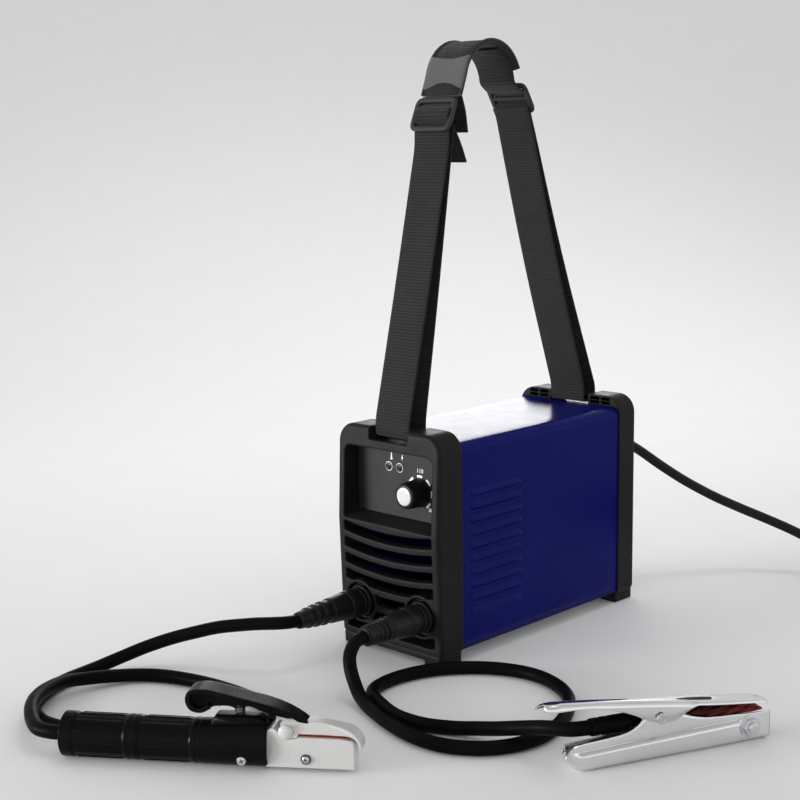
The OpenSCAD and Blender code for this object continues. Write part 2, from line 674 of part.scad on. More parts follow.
module clamp_lower() color("#c9cccf") in_clamp() difference() {
    channel(clamp_w, plate_t) {
        polygon([[-4, 4], [0, 0], [clamp_len, 0], [clamp_len, 20.5], [140, 20], [116, 22],
            [94, 26], [82, 34], [72, 38], [60, 38], [52, 33], [44, 21], [0, 19], [-5, 14]]);
        polygon([[-6, 3], [0.5, plate_t], [clamp_len + 1, plate_t], [clamp_len + 1, 50],
            [-6, 50]]);
    }
    translate([clamp_pivot[0], 20, clamp_pivot[1]]) rotate([90, 0, 0]) cylinder(h = 40, d = 6);
    translate([142, 20, 13]) rotate([90, 0, 0]) cylinder(h = 40, d = 8);
}

clamp_in = clamp_w - 2 * plate_t - 0.8;

module clamp_upper() color("#cfd2d5") in_clamp() difference() {
    channel(clamp_in, plate_t) {
        polygon([[-26, 45], [-25, 51], [0, 48.5], [50, 42], [92, 36], [clamp_len, 28],
            [clamp_len, 22.4], [124, 25], [98, 29], [84, 24], [66, 22], [54, 28], [44, 34],
            [20, 40], [0, 43]]);
        polygon([[-28, 40], [-26, 49.2], [0, 46.9], [50, 40.4], [92, 34.4],
            [clamp_len + 1, 26.2], [clamp_len + 1, 18], [66, 18]]);
    }
    translate([clamp_pivot[0], 20, clamp_pivot[1]]) rotate([90, 0, 0]) cylinder(h = 40, d = 6.1);
}

module clamp_rivet() color("#b9bcc0") in_clamp()
    translate([clamp_pivot[0], 0, clamp_pivot[1]]) rotate([90, 0, 0]) {
        cylinder(h = clamp_w, d = 6, center = true);
        for (s = [-1, 1]) translate([0, 0, s * (clamp_w / 2 + 0.8)])
            cylinder(h = 1.6, d = 10, center = true);
    }

module clamp_spring() color("#3a3b3d") in_clamp() difference() {
    translate([clamp_pivot[0], 0, clamp_pivot[1]]) rotate([90, 0, 0])
        cylinder(h = 15, d = 11, center = true);
    translate([clamp_pivot[0], 0, clamp_pivot[1]]) rotate([90, 0, 0])
        cylinder(h = 16, d = 7, center = true);
}

module clamp_contacts() color("#b4603c") in_clamp() difference() {
    union() {
        translate([122, -8, plate_t]) cube([36, 16, 20.4]);
        for (i = [0:5]) translate([123 + i * 6.2, -8, 21.9]) cube([3, 16, 3.2]);
    }
    translate([142, 20, 13]) rotate([90, 0, 0]) cylinder(h = 40, d = 7.9);
}

module clamp_bolt() color("#b9bcc0") in_clamp() translate([142, 0, 13]) rotate([90, 0, 0]) {
    cylinder(h = clamp_w, d = 7.9, center = true);
    translate([0, 0, clamp_w / 2]) cylinder(h = 5, d = 14, $fn = 6);
    translate([0, 0, -clamp_w / 2 - 5]) cylinder(h = 5, d = 14, $fn = 6);
}

module clamp_boot() color("#1b1c1e") in_clamp() {
    rod_x(14, 46, 28, 13);
    rod_x(46 - eps, 54, 28, 9);
}

// ---------- mains cord ----------

module mains_cord() color("#1c1d1f") tube(mains_route, mains_d, 14);

module mains_coil() color("#1c1d1f") translate([coil_c[0], coil_c[1], 0]) rotate_extrude()
    translate([coil_r[0] - mains_d / 2, 0])
        square([coil_r[1] - coil_r[0] + mains_d, coil_h]);

module mains_plug() translate(mains_plug_at) {
    color("#1c1d1f") {
        rod_y(0, 0, 0, 20, 11, 16);
        rod_y(0, 0, 20 - eps, 50, 26, 36);
        rod_y(0, 0, 50 - eps, 56, 36);
    }
    color("#c3c6ca") for (x = [-9.5, 9.5]) rod_y(x, 0, 56 - eps, 75, 4.8);
}

// ---------- what is drawn ----------

front_bezel();
rear_bezel();
cover();
base_pan();
control_panel();
indicator_leds();
potentiometer();
pot_shaft();
current_knob();
knob_cap();
left_socket();
right_socket();
socket_contacts();
output_busbars();
power_switch_housing();
power_switch_rocker();
fan_frame();
fan_rotor();
fan_guard();
mains_gland();
main_board();
heatsinks();
power_transistors();
transformer_core();
transformer_winding();
capacitors();
output_inductor();
rear_screws();
base_screws();
front_strap();
rear_strap();
strap_tails();
shoulder_pad();
pad_end_caps();
front_buckle();
rear_buckle();
electrode_plug();
work_plug();
plug_pins();
electrode_lead();
work_lead();
holder_handle();
holder_lower_jaw();
holder_lower_contact();
holder_upper_contact();
holder_upper_jaw();
holder_lever();
holder_pin();
holder_spring();
holder_screws();
clamp_lower();
clamp_upper();
clamp_rivet();
clamp_spring();
clamp_contacts();
clamp_bolt();
clamp_boot();
mains_cord();
mains_coil();
mains_plug();
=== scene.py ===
import math
import bmesh
import bpy
from mathutils import Matrix, Vector


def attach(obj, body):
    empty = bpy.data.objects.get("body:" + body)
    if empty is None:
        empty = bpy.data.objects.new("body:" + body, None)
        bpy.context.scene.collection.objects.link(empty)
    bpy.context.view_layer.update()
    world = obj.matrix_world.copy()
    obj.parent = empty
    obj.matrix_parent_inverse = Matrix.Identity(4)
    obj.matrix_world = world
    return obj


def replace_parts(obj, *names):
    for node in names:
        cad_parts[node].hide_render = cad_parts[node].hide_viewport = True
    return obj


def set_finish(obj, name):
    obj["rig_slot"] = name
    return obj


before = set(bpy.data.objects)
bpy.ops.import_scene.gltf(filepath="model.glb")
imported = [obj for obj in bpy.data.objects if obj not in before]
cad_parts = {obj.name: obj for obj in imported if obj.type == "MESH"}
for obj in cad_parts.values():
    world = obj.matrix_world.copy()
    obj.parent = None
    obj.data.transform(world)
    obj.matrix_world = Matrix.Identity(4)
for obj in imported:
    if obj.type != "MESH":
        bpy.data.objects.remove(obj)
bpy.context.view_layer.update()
scene = bpy.context.scene
scene.view_settings.view_transform = "Standard"
MM = 0.001
TAU = 2 * math.pi
LEAD_RADIUS, CORD_RADIUS = .0055, .00475  # metres
COIL_CENTRE = Vector((238, 388.5, 0))  # the rest is in mm
PLUG_FACE = (290.5, 420, 19)
PANEL_FACE = -121.06
STRAP_WIDTH, STRAP_THICK = 40, 1.8
ARCH_Y, ARCH_Z = -23, 490
FRONT_BUCKLE, FRONT_TILT = (-75.6, 464.5), -23
REAR_BUCKLE, REAR_TILT = (26.6, 478.5), 32


# ---------- camera ----------

camera_data = bpy.data.cameras.new("camera")
camera_data.lens, camera_data.sensor_width = 68.64, 36.0
camera = bpy.data.objects.new("camera", camera_data)
scene.collection.objects.link(camera)
right = Vector((0.722996, 0.690724, -0.013351))
up = Vector((-0.108648, 0.132767, 0.985174))
back = Vector((0.682256, -0.710826, 0.171036))
eye = Vector((0.89078, -1.04956, 0.44743))
camera.matrix_world = Matrix((
    (right.x, up.x, back.x, eye.x), (right.y, up.y, back.y, eye.y),
    (right.z, up.z, back.z, eye.z), (0, 0, 0, 1)))
scene.camera = camera


# ---------- materials ----------

def material(name, color, rough, metal=0.0, tint=0.12, grain=900.0, bump=0.2, depth=0.06,
             edge=0.5, wear=0.0, coat=0.0, stretch=(1, 1, 1), ribs=None, spec=0.5, sheen=0.0, ior=1.5,
             vary=0.06):
    """Procedural finish: broad tint, roughness that varies in patches, fine grain, rounded and rubbed edges. ribs =
    (period along, period across, height) in mm adds a woven band's ribs, and painted shade that darkens the valleys
    between them."""
    m = bpy.data.materials.new(name)
    m.use_nodes = True
    tree = m.node_tree
    tree.nodes.clear()

    def add(kind, inputs=None, **props):
        n = tree.nodes.new(kind)
        for k, v in props.items():
            setattr(n, k, v)
        for k, v in (inputs or {}).items():
            if hasattr(v, "is_output"):
                tree.links.new(v, n.inputs[k])
            else:
                n.inputs[k].default_value = v
        return n

    def maths(op, a, b=0.0):
        return add("ShaderNodeMath", {0: a, 1: b}, operation=op).outputs[0]

    def noise(scale, detail, vector):
        return add("ShaderNodeTexNoise", {"Vector": vector, "Scale": scale, "Detail": detail}).outputs[0]

    def ramp(fac, low, high, to_low, to_high):
        return add("ShaderNodeMapRange", {0: fac, 1: low, 2: high, 3: to_low, 4: to_high}).outputs[0]

    coords = add("ShaderNodeTexCoord")
    place = add("ShaderNodeMapping", {"Vector": coords.outputs["Object"], "Scale": stretch})
    vec = place.outputs[0]
    broad = noise(14.0, 3.0, coords.outputs["Object"])
    patch = noise(70.0, 4.0, vec)
    fine = noise(grain, 3.0, vec)
    dark = [c * (1 - tint) for c in color] + [1]
    lite = [min(1, c * (1 + tint)) for c in color] + [1]
    mix = add("ShaderNodeMix", data_type="RGBA")
    tree.links.new(ramp(broad, 0.35, 0.65, 0, 1), mix.inputs[0])
    mix.inputs[6].default_value, mix.inputs[7].default_value = dark, lite
    col = mix.outputs[2]
    roughness = ramp(patch, 0.3, 0.7, max(0.03, rough - vary), min(1, rough + vary))
    height = fine
    if ribs:
        uv = add("ShaderNodeSeparateXYZ", {0: coords.outputs["UV"]})
        row = maths("MULTIPLY", uv.outputs[1], 1000.0 / ribs[0])
        arch = maths("ABSOLUTE", maths("SINE", maths("MULTIPLY", row, math.pi)))
        shift = maths("MULTIPLY", maths("FLOOR", row), 0.5)
        across = maths("ADD", maths("MULTIPLY", uv.outputs[0], 1000.0 / ribs[1]), shift)
        thread = maths("ABSOLUTE", maths("SINE", maths("MULTIPLY", across, math.pi)))
        weave = maths("ADD", maths("MULTIPLY", arch, ribs[2]), maths("MULTIPLY", thread, ribs[2] * 0.3))
        height = maths("ADD", weave, maths("MULTIPLY", fine, 0.15))
        # painted shade: the colour is multiplied darker in the valleys between the ribs, lighter on their crests
        shade = add("ShaderNodeMix", data_type="RGBA", blend_type="MULTIPLY")
        shade.inputs[0].default_value = 1.0
        tree.links.new(col, shade.inputs[6])
        rib_valley_shade = ramp(arch, 0.0, 0.8, 0.35, 1.1)
        tree.links.new(add("ShaderNodeCombineColor", {0: rib_valley_shade, 1: rib_valley_shade, 2: rib_valley_shade}).outputs[0], shade.inputs[7])
        col = shade.outputs[2]
    normal_in = {}
    if edge:
        bevel = add("ShaderNodeBevel", {"Radius": edge * MM}, samples=4)
        normal_in = {"Normal": bevel.outputs[0]}
    if wear and edge:
        geo = add("ShaderNodeNewGeometry")
        dot = add("ShaderNodeVectorMath", {0: bevel.outputs[0], 1: geo.outputs["Normal"]},
                  operation="DOT_PRODUCT").outputs["Value"]
        rub = maths("MULTIPLY", ramp(dot, 0.995, 0.85, 0, 1), ramp(patch, 0.4, 0.6, 0, wear))
        worn = add("ShaderNodeMix", data_type="RGBA")
        tree.links.new(rub, worn.inputs[0])
        tree.links.new(col, worn.inputs[6])
        worn.inputs[7].default_value = [min(1, c * 2.2 + 0.03) for c in color] + [1]
        col = worn.outputs[2]
    bumped = add("ShaderNodeBump", {"Strength": bump, "Distance": depth * MM, "Height": height, **normal_in})
    shader = add("ShaderNodeBsdfPrincipled", {
        "Base Color": col, "Roughness": roughness, "Metallic": metal, "Normal": bumped.outputs[0],
        "Coat Weight": coat, "Coat Roughness": 0.12, "Specular IOR Level": spec, "IOR": ior,
        "Sheen Weight": sheen, "Sheen Roughness": 0.5})
    out = add("ShaderNodeOutputMaterial")
    tree.links.new(shader.outputs[0], out.inputs[0])
    return m


FINISHES = {
    "black_plastic": dict(color=(0.011, 0.011, 0.0115), rough=0.46, grain=1500, bump=0.2, wear=0.3, edge=0.6,
        spec=0.2, ior=1.3),
    "blue_paint": dict(color=(0.003, 0.005, 0.105), rough=0.24, tint=0.05, grain=700, bump=0.015, edge=0.5,
        spec=0.05, vary=0.012),
    "zinc_steel": dict(color=(0.62, 0.63, 0.65), rough=0.3, metal=1.0, grain=500, bump=0.12, edge=0.3, wear=0.3),
    "panel_plastic": dict(color=(0.021, 0.021, 0.022), rough=0.5, grain=2200, bump=0.3, edge=0.4, spec=0.4,
        ior=1.3),
    "led_lens": dict(color=(0.012, 0.013, 0.013), rough=0.15, tint=0.3, grain=1800, bump=0.05, edge=0.3, ior=1.4),
    "board_green": dict(color=(0.02, 0.14, 0.04), rough=0.35, tint=0.3, grain=300, bump=0.5, coat=0.3),
    "knob_plastic": dict(color=(0.009, 0.009, 0.0095), rough=0.34, spec=0.35, grain=1600, bump=0.2, wear=0.4,
        edge=0.3, ior=1.3),
    "white_plastic": dict(color=(0.56, 0.56, 0.55), rough=0.24, tint=0.02, grain=700, bump=0.03, edge=0),
    "socket_plastic": dict(color=(0.010, 0.010, 0.0105), rough=0.36, spec=0.35, grain=1400, bump=0.25, wear=0.4,
        ior=1.3),
    "brass": dict(color=(0.74, 0.52, 0.2), rough=0.28, metal=1.0, grain=600, bump=0.1, wear=0.2),
    "copper": dict(color=(0.42, 0.13, 0.075), rough=0.4, metal=1.0, tint=0.35, grain=700, bump=0.5, depth=0.15),
    "dark_braid": dict(color=(0.13, 0.012, 0.012), rough=0.42, metal=0.7, tint=0.75, grain=420, bump=1.0,
        depth=0.5, edge=0, vary=0.12),
    "red_plastic": dict(color=(0.5, 0.02, 0.015), rough=0.3, tint=0.05, grain=1200, bump=0.1, coat=0.3),
    "aluminium": dict(color=(0.7, 0.71, 0.72), rough=0.34, metal=1.0, grain=420, bump=0.25, stretch=(1, 14, 1)),
    # dark ferrite colour, also used as painted shade on the screw crosses and the holder spring
    "ferrite": dict(color=(0.035, 0.034, 0.034), rough=0.6, grain=1100, bump=0.5),
    "capacitor_sleeve": dict(color=(0.02, 0.045, 0.22), rough=0.3, grain=500, bump=0.08, coat=0.3),
    # its ribs also paint shade into the valleys between them
    "webbing": dict(color=(0.014, 0.014, 0.0145), rough=0.7, grain=1800, bump=0.9, depth=0.45,
        ribs=(2.7, 0.9, 1.0), edge=0, spec=0.3, sheen=0.1, ior=1.3),
    "pad_fabric": dict(color=(0.022, 0.022, 0.023), rough=0.75, grain=2600, bump=0.6, depth=0.15, edge=0, spec=0.3,
        sheen=0.15, ior=1.3),
    "cap_fabric": dict(color=(0.07, 0.07, 0.071), rough=0.75, grain=2400, bump=0.5, depth=0.1, edge=0, sheen=0.3,
        ior=1.3),
    "buckle_plastic": dict(color=(0.03, 0.03, 0.031), rough=0.5, grain=1500, bump=0.15, wear=0.2, edge=0.5,
        spec=0.35, ior=1.3),
    "cable_rubber": dict(color=(0.0035, 0.0035, 0.0037), rough=0.4, grain=1000, bump=0.3, depth=0.08, edge=0.3,
        spec=0.07, ior=1.3),
    "holder_plastic": dict(color=(0.0035, 0.0035, 0.0037), rough=0.26, spec=0.13, grain=1100, bump=0.16, wear=0.35,
        edge=0.6, ior=1.3),
    "clamp_steel": dict(color=(0.78, 0.78, 0.79), rough=0.15, metal=1.0, tint=0.05, grain=120, bump=0.1, depth=0.2,
        stretch=(1, 1, 2), edge=0),
    "cord_rubber": dict(color=(0.012, 0.012, 0.0125), rough=0.5, grain=1100, bump=0.25, edge=0.3, spec=0.25,
        ior=1.3),
    "mark_white": dict(color=(0.85, 0.85, 0.84), rough=0.5, tint=0.05, grain=3000, bump=0.2, edge=0),
}
M = {name: material(name, **finish) for name, finish in FINISHES.items()}


# ---------- mesh helpers ----------

def add_mesh(name, verts, faces, slot, uvs=None, sharp=40):
    mesh = bpy.data.meshes.new(name)
    mesh.from_pydata([tuple(v) for v in verts], [], faces)
    if uvs:
        layer = mesh.uv_layers.new(name="UVMap")
        for loop, uv in zip(layer.data, uvs):
            loop.uv = uv
    mesh.validate()
    bm = bmesh.new()
    bm.from_mesh(mesh)
    bmesh.ops.recalc_face_normals(bm, faces=bm.faces)
    for f in bm.faces:
        f.smooth = True
    for e in bm.edges:
        if len(e.link_faces) == 2 and e.calc_face_angle() > math.radians(sharp):
            e.smooth = False
    bm.to_mesh(mesh)
    bm.free()
    obj = bpy.data.objects.new(name, mesh)
    scene.collection.objects.link(obj)
    mesh.materials.append(M[slot])
    if slot not in ("mark_white", "floor"):  # these two are no part of the record
        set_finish(obj, slot)
    return obj


def grid_data(rows, wrap=False, caps=False, skip=None):
    """Faces and uvs, in metres, over rows of points; wrap joins each row's end to its start."""
    n, m = len(rows), len(rows[0])
    along = [0.0]
    for i in range(1, n):
        along.append(along[-1] + (rows[i][0] - rows[i - 1][0]).length)
    mid = rows[n // 2]
    around = [0.0]
    for j in range(1, m + 1):
        around.append(around[-1] + (mid[j % m] - mid[j - 1]).length)
    faces, uvs = [], []
    for i in range(n - 1):
        for j in range(m if wrap else m - 1):
            if skip and skip(i, j):
                continue
            k = (j + 1) % m
            faces.append([i * m + j, i * m + k, (i + 1) * m + k, (i + 1) * m + j])
            uvs += [(around[j], along[i]), (around[j + 1], along[i]),
                    (around[j + 1], along[i + 1]), (around[j], along[i + 1])]
    if caps:
        for i in (0, n - 1):
            faces.append([i * m + j for j in range(m)])
            uvs += [(around[j], along[i]) for j in range(m)]
    return faces, uvs


def grid(name, rows, slot, sharp=40, **kw):
    faces, uvs = grid_data(rows, **kw)
    return add_mesh(name, [p for r in rows for p in r], faces, slot, uvs, sharp)


def frames_along(points):
    """Unit tangents and two normals carried along a line without twisting."""
    n = len(points)
    tangents = [(points[min(i + 1, n - 1)] - points[max(i - 1, 0)]).normalized() for i in range(n)]
    side = tangents[0].cross(Vector((0, 0, 1)))
    side = (side if side.length > 0.1 else tangents[0].cross(Vector((0, 1, 0)))).normalized()
    out = []
    for t in tangents:
        side = (side - t * side.dot(t)).normalized()
        out.append((t, side, t.cross(side)))
    return out


def tube(name, points, radius, slot, sides=24):
    rows = [[p + (s * math.cos(TAU * j / sides) + v * math.sin(TAU * j / sides)) * radius
             for j in range(sides)] for p, (_, s, v) in zip(points, frames_along(points))]
    return grid(name, rows, slot, wrap=True, caps=True)


def lathe(name, profile, origin, axis, slot, sides=64, sharp=35):
    """Turns (distance along, radius) pairs in mm around an axis through origin."""
    axis = Vector(axis).normalized()
    s = axis.cross(Vector((0, 0, 1)) if abs(axis.z) < 0.9 else Vector((1, 0, 0))).normalized()
    v = axis.cross(s)
    rows = [[(Vector(origin) + axis * a + (s * math.cos(TAU * j / sides) + v * math.sin(TAU * j / sides))
              * max(r, 0.02)) * MM for j in range(sides)] for a, r in profile]
    return grid(name, rows, slot, wrap=True, caps=True, sharp=sharp)


def soften(profile, r=0.5):
    """Rounds the corners of a (distance, radius) profile."""
    out = [profile[0]]
    for a, b, c in zip(profile, profile[1:], profile[2:]):
        u = Vector((a[0] - b[0], a[1] - b[1]))
        w = Vector((c[0] - b[0], c[1] - b[1]))
        k = min(r, u.length * 0.45, w.length * 0.45)
        p, q, v = Vector(b) + u.normalized() * k, Vector(b) + w.normalized() * k, Vector(b)
        for t in (0, 0.33, 0.67, 1):
            z = p * (1 - t) ** 2 + v * (2 * t * (1 - t)) + q * t * t
            out.append((z.x, z.y))
    return out + [profile[-1]]


def round_path(points, radius, steps=6):
    """A plane path with its corners rounded; radius is one number or one per corner."""
    pts = [Vector(p) for p in points]
    out = [pts[0]]
    for i in range(1, len(pts) - 1):
        r = radius[i - 1] if hasattr(radius, "__len__") else radius
        u, w = pts[i - 1] - pts[i], pts[i + 1] - pts[i]
        k = min(r, u.length * 0.48, w.length * 0.48)
        p, q = pts[i] + u.normalized() * k, pts[i] + w.normalized() * k
        for s in range(steps + 1):
            t = s / steps
            out.append(p * (1 - t) ** 2 + pts[i] * (2 * t * (1 - t)) + q * t * t)
    return out + [pts[-1]]


def resample(points, step):
    total = sum((b - a).length for a, b in zip(points, points[1:]))
    n = max(2, round(total / step))
    out, i, run = [points[0].copy()], 0, 0.0
    for k in range(1, n):
        want = total * k / n
        while run + (points[i + 1] - points[i]).length < want:
            run += (points[i + 1] - points[i]).length
            i += 1
        seg = points[i + 1] - points[i]
        out.append(points[i] + seg * ((want - run) / seg.length))
    return out + [points[-1].copy()]


def band(name, path, slot, section=None):
    """A strip whose line lies in the plane of Y and Z, in mm: webbing with rounded long edges,
    or a strip of the section given."""
    if section is None:
        width, h, r = STRAP_WIDTH, STRAP_THICK / 2, 0.8
        section = []
        n = 8
        for side in (1, -1):
            for j in range(n + 1):
                x = (width / 2 - r) * (1 - 2 * j / n) * side
                section.append((x, h * side))
            for a in (30, 60, 90, 120, 150):
                section.append((-side * (width / 2 - r + r * math.sin(math.radians(a))),
                                side * h * math.cos(math.radians(a))))
    rows = []
    for i, p in enumerate(path):
        t = (path[min(i + 1, len(path) - 1)] - path[max(i - 1, 0)]).normalized()
        out = Vector((-t.y, t.x))
        rows.append([Vector((x, p.x + out.x * w, p.y + out.y * w)) * MM for x, w in section])
    return grid(name, rows, slot, wrap=True, caps=True, sharp=50)


def refine(node, body, slot, width):
    """The CAD shape with its sharp edges rounded to width in mm."""
    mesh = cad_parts[node].data.copy()
    mesh.name = node + "_v"
    bm = bmesh.new()
    bm.from_mesh(mesh)
    bmesh.ops.remove_doubles(bm, verts=bm.verts, dist=1e-5)
    bmesh.ops.dissolve_limit(bm, angle_limit=math.radians(0.6), verts=bm.verts, edges=bm.edges)
    bmesh.ops.recalc_face_normals(bm, faces=bm.faces)
    weights = bm.edges.layers.float.new("bevel_weight_edge")
    for e in bm.edges:
        e.smooth = True
        if len(e.link_faces) == 2 and e.calc_face_angle() > math.radians(28):
            e[weights] = 1.0
    for f in bm.faces:
        f.smooth = True
    bm.to_mesh(mesh)
    bm.free()
    obj = bpy.data.objects.new(node + "_v", mesh)
    scene.collection.objects.link(obj)
    mesh.materials.clear()
    mesh.materials.append(M[slot])
    mod = obj.modifiers.new("edges", "BEVEL")
    mod.width, mod.segments, mod.limit_method = width * MM, 3, "WEIGHT"
    mod.use_clamp_overlap, mod.harden_normals = False, False
    mod.miter_outer = "MITER_ARC"
    nor = obj.modifiers.new("normals", "WEIGHTED_NORMAL")
    nor.keep_sharp, nor.weight = True, 100
    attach(obj, body)
    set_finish(obj, slot)
    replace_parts(obj, node)
    return obj


def mould(node, body, slot, voxel, rounds, shape=None):
    """The CAD shape as a moulded part: remeshed finely and smoothed so that every edge is soft.
    shape(point in mm) may move a point further."""
    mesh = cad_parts[node].data.copy()
    mesh.name = node + "_v"
    bm = bmesh.new()
    bm.from_mesh(mesh)
    bmesh.ops.remove_doubles(bm, verts=bm.verts, dist=1e-5)
    bmesh.ops.recalc_face_normals(bm, faces=bm.faces)
    bm.to_mesh(mesh)
    bm.free()
    raw = bpy.data.objects.new(node + "_raw", mesh)
    scene.collection.objects.link(raw)
    again = raw.modifiers.new("again", "REMESH")
    again.mode, again.voxel_size = "VOXEL", voxel * MM
    soft = raw.modifiers.new("soft", "SMOOTH")
    soft.factor, soft.iterations = 0.5, rounds
    done = bpy.data.meshes.new_from_object(raw.evaluated_get(bpy.context.evaluated_depsgraph_get()))
    bpy.data.objects.remove(raw)
    done.name = node + "_v"
    if shape:
        for v in done.vertices:
            v.co = shape(v.co / MM) * MM
    for f in done.polygons:
        f.use_smooth = True
    done.materials.clear()
    done.materials.append(M[slot])
    obj = bpy.data.objects.new(node + "_v", done)
    scene.collection.objects.link(obj)
    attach(obj, body)
    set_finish(obj, slot)
    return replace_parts(obj, node)


def soft_prism(name, outline, cuts, width, to_world, slot, voxel, rounds):
    """A plate with a smooth outline, pockets cut from both faces, and soft edges. cuts are
    (outline, from y, to y); to_world takes a point of the plate to its place."""
    def prism(points, y0, y1):
        n = len(points)
        verts = [to_world(p.x, y, p.y) for y in (y0, y1) for p in points]
        faces = [list(range(n)), list(range(2 * n - 1, n - 1, -1))]
        faces += [[i, (i + 1) % n, (i + 1) % n + n, i + n] for i in range(n)]
        return add_mesh(name + "_raw", verts, faces, slot)

    raw = prism(outline, -width / 2, width / 2)
    cutters = [prism(c, y0, y1) for c, y0, y1 in cuts]
    for c in cutters:
        mod = raw.modifiers.new("cut", "BOOLEAN")
        mod.operation, mod.object, mod.solver = "DIFFERENCE", c, "EXACT"
    again = raw.modifiers.new("again", "REMESH")
    again.mode, again.voxel_size = "VOXEL", voxel * MM
    soft = raw.modifiers.new("soft", "SMOOTH")
    soft.factor, soft.iterations = 0.5, rounds
    done = bpy.data.meshes.new_from_object(raw.evaluated_get(bpy.context.evaluated_depsgraph_get()))
    for o in [raw, *cutters]:
        bpy.data.objects.remove(o)
    for f in done.polygons:
        f.use_smooth = True
    done.materials.clear()
    done.materials.append(M[slot])
    obj = bpy.data.objects.new(name, done)
    scene.collection.objects.link(obj)
    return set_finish(obj, slot)


def closed_curve(points, per=5):
    """Smooth closed outline through points of a plane."""
    p = [Vector(q) for q in points]
    n = len(p)
    out = []
    for i in range(n):
        a, b, c, d = p[i - 1], p[i], p[(i + 1) % n], p[(i + 2) % n]
        k0, k1 = (b - a).length ** 0.5, (c - b).length ** 0.5
        k2 = (d - c).length ** 0.5
        for s in range(per):
            t = k0 + k1 * s / per
            ab = a * ((k0 - t) / k0) + b * (t / k0)
            bc = b * ((k0 + k1 - t) / k1) + c * ((t - k0) / k1)
            cd = c * ((k0 + k1 + k2 - t) / k2) + d * ((t - k0 - k1) / k2)
            abc = ab * ((k0 + k1 - t) / (k0 + k1)) + bc * (t / (k0 + k1))
            bcd = bc * ((k0 + k1 + k2 - t) / (k1 + k2)) + cd * ((t - k0) / (k1 + k2))
            out.append(abc * ((k0 + k1 - t) / k1) + bcd * ((t - k0) / k1))
    return out


def put(obj, body, *nodes):
    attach(obj, body)
    if nodes:
        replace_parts(obj, *nodes)
    return obj


def merge(name, objs):
    """Joins meshes that are one moulded piece."""
    bm = bmesh.new()
    for o in objs:
        bm.from_mesh(o.data)
    mesh = bpy.data.meshes.new(name)
    bm.to_mesh(mesh)
    bm.free()
    mesh.materials.append(objs[0].data.materials[0])
    obj = bpy.data.objects.new(name, mesh)
    scene.collection.objects.link(obj)
    if "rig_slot" in objs[0]:
        obj["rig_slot"] = objs[0]["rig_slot"]
    for o in objs:
        bpy.data.objects.remove(o)
    return obj


# ---------- cords ----------

def spline(route, low):
    """Smooth curve through a route in metres, never lower than low."""
    p = [Vector(q) for q in route]
    out = []
    for i in range(len(p) - 1):
        a, b = p[i], p[i + 1]
        before = p[i - 1] if i else 2 * a - b
        after = p[i + 2] if i + 2 < len(p) else 2 * b - a
        for k in range(6):
            t = k / 6
            q = 0.5 * (2 * a + (b - before) * t + (2 * before - 5 * a + 4 * b - after) * t * t
                       + (3 * a - before - 3 * b + after) * t ** 3)
            out.append(Vector((q.x, q.y, max(q.z, low))))
    return out + [p[-1]]


electrode_route = [
    (-.036, -.214, .042), (-.038, -.223, .0425), (-.046, -.231, .042), (-.058, -.239, .041),
    (-.072, -.248, .039), (-.088, -.258, .036), (-.104, -.269, .031), (-.121, -.282, .025),
    (-.136, -.299, .018), (-.146, -.318, .0115), (-.151, -.339, .007), (-.151, -.360, .0055),
    (-.147, -.377, .0055), (-.139, -.394, .0055), (-.129, -.409, .0055), (-.116, -.423, .0055),
    (-.098, -.433, .0055), (-.076, -.436, .0055), (-.051, -.428, .0055), (-.024, -.411, .0055),
    (.006, -.392, .0055), (.034, -.370, .0055), (.048, -.340, .0055), (.038, -.312, .0055),
    (.010, -.298, .0055), (-.030, -.296, .0055), (-.070, -.302, .0055), (-.103, -.316, .0055),
    (-.121, -.339, .007), (-.128, -.365, .010), (-.126, -.388, .014), (-.116, -.4105, .017),
    (-.103, -.429, .0185), (-.091, -.441, .0185), (-.079, -.4495, .018), (-.066, -.4565, .017),
    (-.051, -.4615, .0165), (-.038, -.4585, .0165), (-.029, -.453, .0165)]
work_route = [
    (.036, -.206, .042), (.037, -.217, .040), (.042, -.228, .033), (.048, -.233, .024),
    (.056, -.236, .014), (.067, -.241, .008), (.086, -.249, .0055), (.116, -.260, .0055),
    (.148, -.267, .0055), (.176, -.265, .0055), (.200, -.252, .0055), (.215, -.231, .0055),
    (.220, -.204, .0055), (.215, -.176, .0055), (.203, -.150, .0055), (.186, -.127, .0055),
    (.164, -.112, .0055), (.139, -.105, .0055), (.114, -.108, .0055), (.089, -.121, .0055),
    (.067, -.144, .0055), (.055, -.173, .0055), (.054, -.203, .0055), (.063, -.224, .0055),
    (.085, -.2365, .0055), (.112, -.246, .0055), (.138, -.245, .0055), (.161, -.236, .006),
    (.180, -.2305, .009), (.196, -.2295, .0128), (.2085, -.229, .0163), (.223, -.228, .0203),
    (.236, -.228, .024), (.2483, -.2265, .0265), (.261, -.2219, .0276), (.2697, -.2112, .028)]
mains_route = [
    (.022, .166, .146), (.023, .181, .142), (.028, .199, .131), (.038, .219, .115),
    (.051, .243, .097), (.067, .268, .080), (.086, .290, .066), (.108, .308, .054),
    (.133, .320, .043), (.160, .327, .031), (.188, .330, .019), (.214, .331, .009),
    (.238, .331, .00495)]


